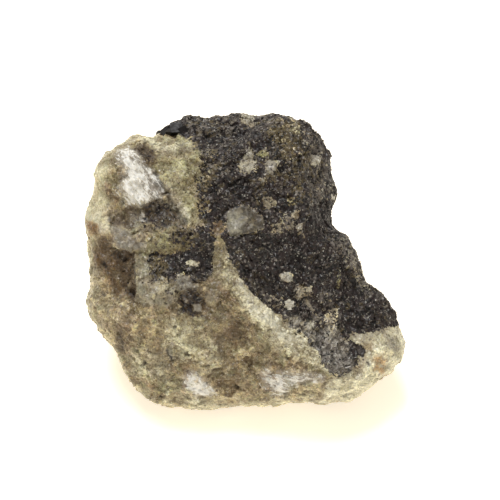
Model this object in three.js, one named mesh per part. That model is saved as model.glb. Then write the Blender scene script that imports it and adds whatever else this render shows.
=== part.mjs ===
// A hand specimen of latrappite ore, 45 mm wide: one broken lump of pale, sugary carbonate rock
// with a body of black, fine-grained ore grown through it. Rock and ore grew together, so the
// specimen is a single solid, lying on its flattest broken side.
//
// Millimetres, +Z up, X along the long side. The origin is on the table, under the middle of the
// lump. Its broad face looks up and forwards, to -Y. That face is described in a frame of its own,
// with u to the right, v up the face and w straight out of it.

import * as THREE from "three";
import { ImprovedNoise } from "three/addons/math/ImprovedNoise.js";
import { mergeVertices } from "three/addons/utils/BufferGeometryUtils.js";

// The face's frame

const FACE_TILT = 28; // degrees from straight up to the face's own w
const FACE_ORIGIN = new THREE.Vector3(0, -1, 13.4);

// The lump's outline, seen square to the face: [u, v], clockwise from the notch at the top left

const OUTLINE = [
  [-12.6, 17.3], [-11.5, 18.4], [-9.7, 19.2], [-7.5, 20.0], [-4.0, 20.7], [-0.7, 21.5],
  [3.5, 21.5], [6.1, 20.9], [8.2, 20.2], [10.3, 18.2], [11.6, 14.8], [11.9, 12.6],
  [12.4, 9.7], [11.8, 8.3], [11.4, 6.4], [12.0, 4.6], [14.6, 3.6], [15.2, 1.4],
  [16.6, -3.1], [18.5, -4.2], [20.5, -6.0], [21.4, -7.6], [21.2, -8.7], [22.5, -10.9],
  [22.8, -12.6], [21.8, -14.7], [20.1, -16.7], [18.0, -18.0], [15.0, -18.9], [11.5, -20.2],
  [4.0, -20.2], [-4.2, -20.1], [-8.5, -20.6], [-11.3, -20.4], [-13.0, -19.4], [-14.9, -17.5],
  [-17.1, -14.8], [-18.5, -11.6], [-20.0, -9.8], [-21.5, -7.9], [-22.1, -5.9], [-21.9, -4.4],
  [-21.3, -3.4], [-21.5, -1.0], [-21.8, 3.1], [-22.2, 5.6], [-22.0, 7.8], [-21.3, 10.2],
  [-20.7, 12.7], [-20.3, 14.7], [-18.6, 16.1], [-17.2, 17.2], [-15.1, 17.9], [-13.7, 17.6],
];
const RIM_ALLOWANCE = 0.4; // the rounding draws the rim in by this much, so the outline is let out
const RIM_RUN = 4.5; // how far in from the outline the face starts to fall away
const RIM_FALL = 2.8; // how far it has fallen there

// The plainer outline that the sides have lower down, and how deep below the rim they reach it

const BODY_OUTLINE = [
  [-16.6, 17.7], [-9.4, 19.4], [3.5, 21.4], [10.0, 18.2], [11.8, 9.4], [11.4, 6.0], [14.8, 1.6],
  [22.0, -11.0], [20.0, -16.6], [11.0, -20.2], [-11.0, -20.6], [-16.6, -15.2], [-22.0, -6.4],
  [-22.0, 6.0], [-20.4, 13.6],
];
const BODY_DEPTH = 11;
const UNDERCUT = 0.4; // how fast the sides draw in far below the rim, per mm of depth
const UNDERCUT_START = 6; // the depth over which they turn to that slope

// The broken planes that make the face: its height w is at + u times alongU + v times alongV

const FACE_PLANES = [
  { name: "top", at: 8.2, alongU: 0, alongV: -0.28 },
  { name: "front", at: 10.6, alongU: 0.03, alongV: 0.42 },
  { name: "left side", at: 20.5, alongU: 0.8, alongV: -0.06 },
  { name: "right end", at: 20.0, alongU: -0.82, alongV: 0.1 },
];

// Lumps that stand proud of those planes, each with its outline, its plane and its walls' slope

const RAISED = [
  {
    name: "battered knob",
    outline: [[-18.5, 12.5], [-15.0, 15.0], [-11.0, 14.5], [-8.6, 11.5], [-10.5, 9.0], [-15.0, 8.2]],
    plane: { at: 7.9, alongU: 0.08, alongV: 0.02 },
    wall: 0.42,
  },
  {
    name: "bench below the knob",
    outline: [
      [-19.0, 4.6], [-13.5, 5.6], [-8.0, 5.0], [-3.6, 5.4], [-2.2, 4.0], [-7.0, 2.9], [-12.5, 2.2],
      [-17.5, 2.6],
    ],
    plane: { at: 8.1, alongU: 0.04, alongV: -0.1 },
    wall: 0.6,
  },
  {
    name: "dark dome",
    outline: [[-3.0, 14.5], [1.0, 16.0], [5.5, 14.0], [6.8, 10.6], [4.0, 8.6], [-1.0, 9.2]],
    plane: { at: 8.2, alongU: -0.03, alongV: -0.1 },
    wall: 0.36,
  },
  {
    name: "ridge beside the scoop",
    outline: [
      [-3.6, 0.8], [-2.4, 1.8], [-0.6, -1.4], [1.4, -4.8], [4.4, -8.2], [8.6, -12.0], [7.0, -12.6],
      [2.0, -9.0], [-1.4, -5.0], [-3.2, -1.6],
    ],
    plane: { at: 9.6, alongU: 0.04, alongV: 0.16 },
    wall: 0.42,
  },
  {
    name: "corner lump",
    outline: [[15.4, -10.8], [18.8, -9.6], [20.2, -11.6], [18.6, -14.2], [15.0, -15.4], [12.8, -14.4]],
    plane: { at: 7.4, alongU: -0.12, alongV: 0.16 },
    wall: 0.5,
  },
];

// Hollows broken out of it, likewise

const HOLLOWS = [
  {
    name: "black scoop",
    outline: [
      [-1.2, 3.0], [0.8, -1.4], [2.8, -4.8], [5.8, -7.8], [9.2, -10.6], [12.4, -12.4],
      [14.8, -11.4], [16.6, -9.4], [20.0, -8.0], [26.0, -7.0], [26.0, 4.6], [10.0, 4.4], [3.0, 4.0],
    ],
    plane: { at: 7.5, alongU: -0.22, alongV: 0.1 },
    wall: 0.95,
  },
  {
    name: "recess under the bench",
    outline: [
      [-13.8, 0.2], [-9.0, 0.6], [-4.8, 0.4], [-4.0, -1.0], [-5.8, -3.4], [-9.6, -4.2], [-13.2, -2.4],
    ],
    plane: { at: 6.9, alongU: 0.02, alongV: -0.2 },
    wall: 0.6,
  },
  {
    name: "dark pocket",
    outline: [[-9.6, -5.0], [-6.0, -5.4], [-5.2, -6.8], [-8.4, -7.2]],
    plane: { at: 7.6, alongU: 0, alongV: 0.12 },
    wall: 0.6,
  },
  {
    name: "brown flake scar",
    outline: [[-22.0, 1.4], [-16.8, 1.0], [-16.4, -4.4], [-19.0, -4.0]],
    plane: { at: 13.0, alongU: 0.42, alongV: 0.05 },
    wall: 0.9,
  },
  {
    name: "bevel along the top",
    outline: [[-12.5, 18.0], [-8.0, 17.3], [-3.0, 17.6], [1.5, 19.4], [1.5, 26.0], [-12.5, 26.0]],
    plane: { at: 18.6, alongU: 0.02, alongV: -0.85 },
    wall: 1.1,
  },
  {
    name: "chipped right rim",
    outline: [[8.6, 20.5], [10.2, 14.5], [10.0, 9.0], [11.0, 5.6], [20.0, 5.6], [20.0, 20.5]],
    plane: { at: 10.6, alongU: -0.66, alongV: 0 },
    wall: 0.9,
  },
];

// How far the creases, ledges and hollows of the face wander from the lines given above

const WANDER = [
  { spacing: 9.5, reach: 2.2 },
  { spacing: 4.1, reach: 0.9 },
];
const WANDER_APART = 31.7; // between the two noise fields for u and v, so that they differ

// The broken faces of the sides and back: the way each looks, in degrees from +X towards +Y and
// above the table, and its distance from the face frame's origin

const BROKEN_FACES = [
  { name: "back", azimuth: 94, elevation: 3, distance: 20.4 },
  { name: "upper back left", azimuth: 128, elevation: 34, distance: 23.4 },
  { name: "upper back right", azimuth: 62, elevation: 36, distance: 21.2 },
  { name: "back right", azimuth: 44, elevation: 4, distance: 19.2 },
  { name: "back left", azimuth: 143, elevation: -12, distance: 21.2 },
  { name: "left foot", azimuth: 187, elevation: -40, distance: 20.4 },
  { name: "right foot", azimuth: 4, elevation: -36, distance: 22.4 },
  { name: "front foot", azimuth: 262, elevation: -46, distance: 21.4 },
  { name: "front right foot", azimuth: 318, elevation: -38, distance: 24.2 },
  { name: "back foot", azimuth: 80, elevation: -38, distance: 18.6 },
];

// The roughness of broken rock, from coarse to fine: how far apart the swells are and their height

const ROUGHNESS = [
  { spacing: 8.5, height: 0.75 },
  { spacing: 4.2, height: 0.42 },
  { spacing: 2.3, height: 0.26 },
];
const HOLLOW_UNDER = { spacing: 11, height: 0.9 }; // the resting side's own shallow hollows

const EDGE_ROUNDING = 1.1; // over which two broken faces blend at their shared edge
const SPLITS_PER_EDGE = 10; // of the icosahedron that the surface is shaped from
const FACE_SHARE = 0.3; // how far the ball's points are crowded towards the face
const CORE_SHARE = 0.8; // of the outline's radius: a flat core that lies inside the lump
const SHELL_SHARE = 1.22; // and a shell that lies outside it
const SHELL_DEPTH = 21; // of that shell, in front of and behind the core
const CORE_HEIGHT = -3; // of the core, in w
const STEPS = 60; // of the search from the shell in to the core
const PROBE = 0.05; // over which the field's slope is measured
const COARSE_ROUNDS = 26; // in which every point slides towards its furthest neighbours
const FINE_ROUNDS = 12; // of the same, once every triangle is parted in four: 9,680 in all
const EVENING_SHARE = 0.6; // of the way, each time
const LONGEST_STEP = 0.8; // back to the surface
const NEARLY_DOWN = 0.03; // a point this close to the table lies on it

const noise = new ImprovedNoise();
const tilt = THREE.MathUtils.degToRad(FACE_TILT);
const alongU = new THREE.Vector3(1, 0, 0);
const alongV = new THREE.Vector3(0, Math.cos(tilt), Math.sin(tilt));
const alongW = new THREE.Vector3(0, -Math.sin(tilt), Math.cos(tilt));

function smoothMax(a, b, width) {
  const overlap = Math.max(width - Math.abs(a - b), 0) / width;
  return Math.max(a, b) + (overlap * overlap * width) / 4;
}

function smoothMin(a, b, width) {
  return -smoothMax(-a, -b, width);
}

// How far [u, v] is from a closed outline: negative inside it.
function distanceTo(outline, u, v) {
  let nearest = Infinity;
  let inside = false;
  outline.forEach(([endU, endV], i) => {
    const [startU, startV] = outline.at(i - 1);
    const runU = endU - startU;
    const runV = endV - startV;
    const share = ((u - startU) * runU + (v - startV) * runV) / (runU * runU + runV * runV);
    const t = THREE.MathUtils.clamp(share, 0, 1);
    nearest = Math.min(nearest, Math.hypot(u - startU - t * runU, v - startV - t * runV));
    if (startV > v !== endV > v && u < startU + ((v - startV) / runV) * runU) inside = !inside;
  });
  return inside ? -nearest : nearest;
}

const planeHeight = (plane, u, v) => plane.at + plane.alongU * u + plane.alongV * v;

// The face's height w at [straightU, straightV], which is edge mm from the outline.
function faceHeight(straightU, straightV, edge) {
  let u = straightU;
  let v = straightV;
  for (const { spacing, reach } of WANDER) {
    u += reach * noise.noise(straightU / spacing, straightV / spacing, 0);
    v += reach * noise.noise(straightU / spacing, straightV / spacing, WANDER_APART);
  }
  let height = Infinity;
  for (const plane of FACE_PLANES) {
    height = smoothMin(height, planeHeight(plane, u, v), 2 * EDGE_ROUNDING);
  }
  for (const lump of RAISED) {
    const away = Math.max(0, distanceTo(lump.outline, u, v));
    height = smoothMax(height, planeHeight(lump.plane, u, v) - lump.wall * away, EDGE_ROUNDING);
  }
  for (const hollow of HOLLOWS) {
    const away = Math.max(0, distanceTo(hollow.outline, u, v));
    height = smoothMin(height, planeHeight(hollow.plane, u, v) + hollow.wall * away, EDGE_ROUNDING);
  }
  const nearRim = Math.max(0, 1 + edge / RIM_RUN);
  return height - RIM_FALL * nearRim * nearRim;
}

const brokenFaces = BROKEN_FACES.map(({ azimuth, elevation, distance }) => {
  const turn = THREE.MathUtils.degToRad(azimuth);
  const lift = THREE.MathUtils.degToRad(elevation);
  const level = Math.cos(lift);
  const normal = new THREE.Vector3(level * Math.cos(turn), level * Math.sin(turn), Math.sin(lift));
  return { normal, distance };
});

function swell(point, { spacing, height }) {
  return height * noise.noise(point.x / spacing, point.y / spacing, point.z / spacing);
}

// Negative inside the lump, positive outside it.
function outsideBy(point) {
  const fromOrigin = point.clone().sub(FACE_ORIGIN);
  const u = fromOrigin.dot(alongU);
  const v = fromOrigin.dot(alongV);
  const w = fromOrigin.dot(alongW);
  const edge = distanceTo(OUTLINE, u, v) - RIM_ALLOWANCE;
  const height = faceHeight(u, v, edge);
  const below = Math.max(0, height - w);
  const share = THREE.MathUtils.smoothstep(below, 0, BODY_DEPTH);
  const drawnIn = (UNDERCUT * below * below) / (below + UNDERCUT_START);
  const body = distanceTo(BODY_OUTLINE, u, v) - RIM_ALLOWANCE;
  const side = THREE.MathUtils.lerp(edge, body, share) + drawnIn;
  let outside = smoothMax(w - height, side, EDGE_ROUNDING);
  for (const { normal, distance } of brokenFaces) {
    outside = smoothMax(outside, normal.dot(fromOrigin) - distance, EDGE_ROUNDING);
  }
  for (const octave of ROUGHNESS) outside += swell(point, octave);
  const underside = Math.max(0, swell(new THREE.Vector3(point.x, point.y, 0), HOLLOW_UNDER));
  return smoothMax(outside, underside - point.z, EDGE_ROUNDING);
}

// The point of the row frame at a place given in the face's own frame.
function fromFace(place) {
  return FACE_ORIGIN.clone()
    .addScaledVector(alongU, place.x)
    .addScaledVector(alongV, place.y)
    .addScaledVector(alongW, place.z);
}

// How far the outline is from its middle, going along [u, v].
function outlineRadius(u, v) {
  let radius = 0;
  OUTLINE.forEach(([endU, endV], i) => {
    const [startU, startV] = OUTLINE.at(i - 1);
    const runU = endU - startU;
    const runV = endV - startV;
    const across = u * runV - v * runU;
    const along = (startU * runV - startV * runU) / across;
    const share = (startU * v - startV * u) / across;
    if (along > 0 && share >= 0 && share <= 1) radius = Math.max(radius, along);
  });
  return radius;
}

// The lump's surface on the line from the shell in to the core, for a point of the unit ball.
function surfacePoint(ballPoint) {
  const level = Math.hypot(ballPoint.x, ballPoint.y);
  const spread = level > 0 ? outlineRadius(ballPoint.x / level, ballPoint.y / level) : 0;
  const place = (share, depth) =>
    fromFace(new THREE.Vector3(share * spread * ballPoint.x, share * spread * ballPoint.y, depth));
  const start = place(SHELL_SHARE, CORE_HEIGHT + SHELL_DEPTH * ballPoint.z);
  const end = place(CORE_SHARE, CORE_HEIGHT);
  const at = (share) => start.clone().lerp(end, share);
  let depth = 0;
  while (depth < 1 && outsideBy(at(depth)) > 0) depth += 1 / STEPS;
  return at(depth);
}

// The field's slope at a point: the way straight out of the lump there.
function slopeAt(point) {
  const slope = new THREE.Vector3();
  for (const axis of ["x", "y", "z"]) {
    const ahead = point.clone();
    const behind = point.clone();
    ahead[axis] += PROBE;
    behind[axis] -= PROBE;
    slope[axis] = (outsideBy(ahead) - outsideBy(behind)) / (2 * PROBE);
  }
  return slope;
}

function ontoSurface(point) {
  const slope = slopeAt(point);
  slope.multiplyScalar(-outsideBy(point) / slope.lengthSq()).clampLength(0, LONGEST_STEP);
  return point.clone().add(slope);
}

// For each of the points, those that share a triangle side with it.
function neighboursIn(triangles, count) {
  const neighbours = Array.from({ length: count }, () => new Set());
  for (const [a, b, c] of triangles) {
    neighbours[a].add(b).add(c);
    neighbours[b].add(c).add(a);
    neighbours[c].add(a).add(b);
  }
  return neighbours;
}

// Slides the points along the surface, a number of times, until they are evenly spaced.
function evenedOut(points, triangles, rounds) {
  const neighbours = neighboursIn(triangles, points.length);
  let moved = points;
  for (let round = 0; round < rounds; round++) {
    moved = moved.map((point, i) => {
      const pull = new THREE.Vector3();
      let pulls = 0;
      for (const j of neighbours[i]) {
        const away = point.distanceTo(moved[j]);
        pull.addScaledVector(moved[j], away);
        pulls += away;
      }
      const middle = pull.divideScalar(pulls);
      const slide = middle.sub(point).projectOnPlane(slopeAt(point).normalize());
      return ontoSurface(point.clone().addScaledVector(slide, EVENING_SHARE));
    });
  }
  return moved;
}

// Parts every triangle in four, at the middles of its sides.
function parted(points, triangles) {
  const middles = new Map();
  const finer = [...points];
  const middleOf = (a, b) => {
    const side = `${Math.min(a, b)} ${Math.max(a, b)}`;
    if (!middles.has(side)) middles.set(side, finer.push(points[a].clone().lerp(points[b], 0.5)) - 1);
    return middles.get(side);
  };
  const quarters = triangles.flatMap(([a, b, c]) => {
    const [ab, bc, ca] = [middleOf(a, b), middleOf(b, c), middleOf(c, a)];
    return [[a, ab, ca], [b, bc, ab], [c, ca, bc], [ab, bc, ca]];
  });
  return { points: finer, triangles: quarters };
}

// A ball of even triangles, its points drawn in to the surface of the lump and evened out there.
function lumpGeometry() {
  const ball = new THREE.IcosahedronGeometry(1, SPLITS_PER_EDGE);
  ball.deleteAttribute("normal");
  ball.deleteAttribute("uv");
  const merged = mergeVertices(ball);
  const positions = merged.getAttribute("position");
  const corners = [...merged.getIndex().array];
  const triangles = corners.flatMap((a, i) => (i % 3 ? [] : [[a, corners[i + 1], corners[i + 2]]]));
  const start = Array.from({ length: positions.count }, (_, i) => {
    const ballPoint = new THREE.Vector3().fromBufferAttribute(positions, i);
    ballPoint.z += FACE_SHARE;
    return surfacePoint(ballPoint.normalize());
  });
  const coarse = evenedOut(start, triangles, COARSE_ROUNDS);
  const fine = parted(coarse, triangles);
  const points = evenedOut(fine.points, fine.triangles, FINE_ROUNDS).map(ontoSurface);
  for (const point of points) if (point.z < NEARLY_DOWN) point.z = 0;
  const geometry = new THREE.BufferGeometry().setFromPoints(points);
  geometry.setIndex(fine.triangles.flat());
  geometry.computeVertexNormals();
  return geometry;
}

const rock = new THREE.MeshStandardMaterial({ color: 0x8f8468, roughness: 0.85, metalness: 0 });

const lump = new THREE.Mesh(lumpGeometry(), rock);
lump.name = "latrappite_rock";

const specimen = new THREE.Group();
specimen.add(lump);

export default specimen;
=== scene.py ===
# %% [markdown]
# # A hand specimen of latrappite ore
#
# The real thing is one broken lump, 45 mm wide. Most of it is carbonatite, a rock of pale, sugary
# calcite grains stained beige, olive and brown. A body of black, fine-grained ore has grown
# through it, and the black ore is where the latrappite sits. Blows of a hammer have left three
# white bruises.
#
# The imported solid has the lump's main form. This script dresses it: finer relief, the zones of
# colour, the grains that stand out of the broken faces, the light and the camera.

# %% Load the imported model
import math
import random
from functools import partial
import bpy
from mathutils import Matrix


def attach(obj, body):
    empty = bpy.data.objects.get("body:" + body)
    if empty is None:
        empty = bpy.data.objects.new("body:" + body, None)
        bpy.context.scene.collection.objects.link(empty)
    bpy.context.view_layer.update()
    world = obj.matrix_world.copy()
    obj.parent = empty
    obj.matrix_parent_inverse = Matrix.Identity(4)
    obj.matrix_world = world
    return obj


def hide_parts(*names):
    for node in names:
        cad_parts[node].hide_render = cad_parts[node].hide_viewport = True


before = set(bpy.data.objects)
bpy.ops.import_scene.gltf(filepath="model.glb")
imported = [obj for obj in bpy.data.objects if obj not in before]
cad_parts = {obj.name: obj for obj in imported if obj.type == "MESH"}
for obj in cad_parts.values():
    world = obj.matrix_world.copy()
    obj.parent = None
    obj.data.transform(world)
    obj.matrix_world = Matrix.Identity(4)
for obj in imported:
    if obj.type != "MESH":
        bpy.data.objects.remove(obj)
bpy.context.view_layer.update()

from types import SimpleNamespace

import bmesh
import bpy
import numpy as np
from mathutils import Matrix, Vector, noise

MM = 0.001  # every length below is in millimetres, and Blender's unit is the metre
BODY = "root"

# %% [markdown]
# ## The broad face's own frame
#
# The specimen is shown with its broadest broken face towards the camera, leaning back by 28
# degrees. What is seen on that face is easiest to place in a frame of its own: u to the right, v
# up the face and w straight out of it. A point that stands nearer the camera looks a little
# further from the middle of the picture, so the place where a zone is traced is worked out with
# that in mind.

# %% From the model's frame to the face's
FACE_TILT = math.radians(28)
FACE_ORIGIN = np.array((0.0, -1.0, 13.4))
ALONG_U = np.array((1.0, 0.0, 0.0))
ALONG_V = np.array((0.0, math.cos(FACE_TILT), math.sin(FACE_TILT)))
ALONG_W = np.array((0.0, -math.sin(FACE_TILT), math.cos(FACE_TILT)))

PICTURE_CENTRE = np.array((0.705, 1.692))  # of the view, in u and v
PICTURE_WIDTH = 70.5  # mm across the view, on the plane w = 0
LENS = 150
SENSOR = 36
CAMERA_DISTANCE = PICTURE_WIDTH / 2 / (SENSOR / 2 / LENS)


def seen_on_face(points):
    """Return u and v as they are seen from the front, and w, of points given in millimetres."""
    away = points - FACE_ORIGIN
    w = away @ ALONG_W
    straight = np.stack((away @ ALONG_U, away @ ALONG_V), axis=1)
    larger = CAMERA_DISTANCE / (CAMERA_DISTANCE - w)
    seen = PICTURE_CENTRE + (straight - PICTURE_CENTRE) * larger[:, None]
    return seen[:, 0], seen[:, 1], w


print("camera distance, mm:", round(CAMERA_DISTANCE, 2))

# %% [markdown]
# ## The lump, made finer
#
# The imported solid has 9,680 triangles, about 1 mm each. A broken rock has relief down to its
# grains, so a copy is merged, each edge is parted in four, and the flat facets are smoothed away.
# The alternative is a displacement in the material, but relief in the mesh also shapes the
# outline.

# %% Copy the lump and subdivide it
MERGE_DISTANCE = 0.002  # the solid's triangles are loose, and corners this close are one point
CUTS_PER_EDGE = 3
SMOOTHING_ROUNDS = 4

rock_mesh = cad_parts["latrappite_rock"].data.copy()
rock_mesh.name = "broken_lump"
rock_mesh.materials.clear()

shaping = bmesh.new()
shaping.from_mesh(rock_mesh)
bmesh.ops.remove_doubles(shaping, verts=shaping.verts, dist=MERGE_DISTANCE * MM)
bmesh.ops.subdivide_edges(shaping, edges=shaping.edges, cuts=CUTS_PER_EDGE, use_grid_fill=True)
for _ in range(SMOOTHING_ROUNDS):
    bmesh.ops.smooth_vert(
        shaping, verts=shaping.verts, factor=0.5, use_axis_x=True, use_axis_y=True, use_axis_z=True
    )
bmesh.ops.recalc_face_normals(shaping, faces=shaping.faces)
shaping.normal_update()
print("the finer lump:", len(shaping.verts), "points,", len(shaping.faces), "triangles")
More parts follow.
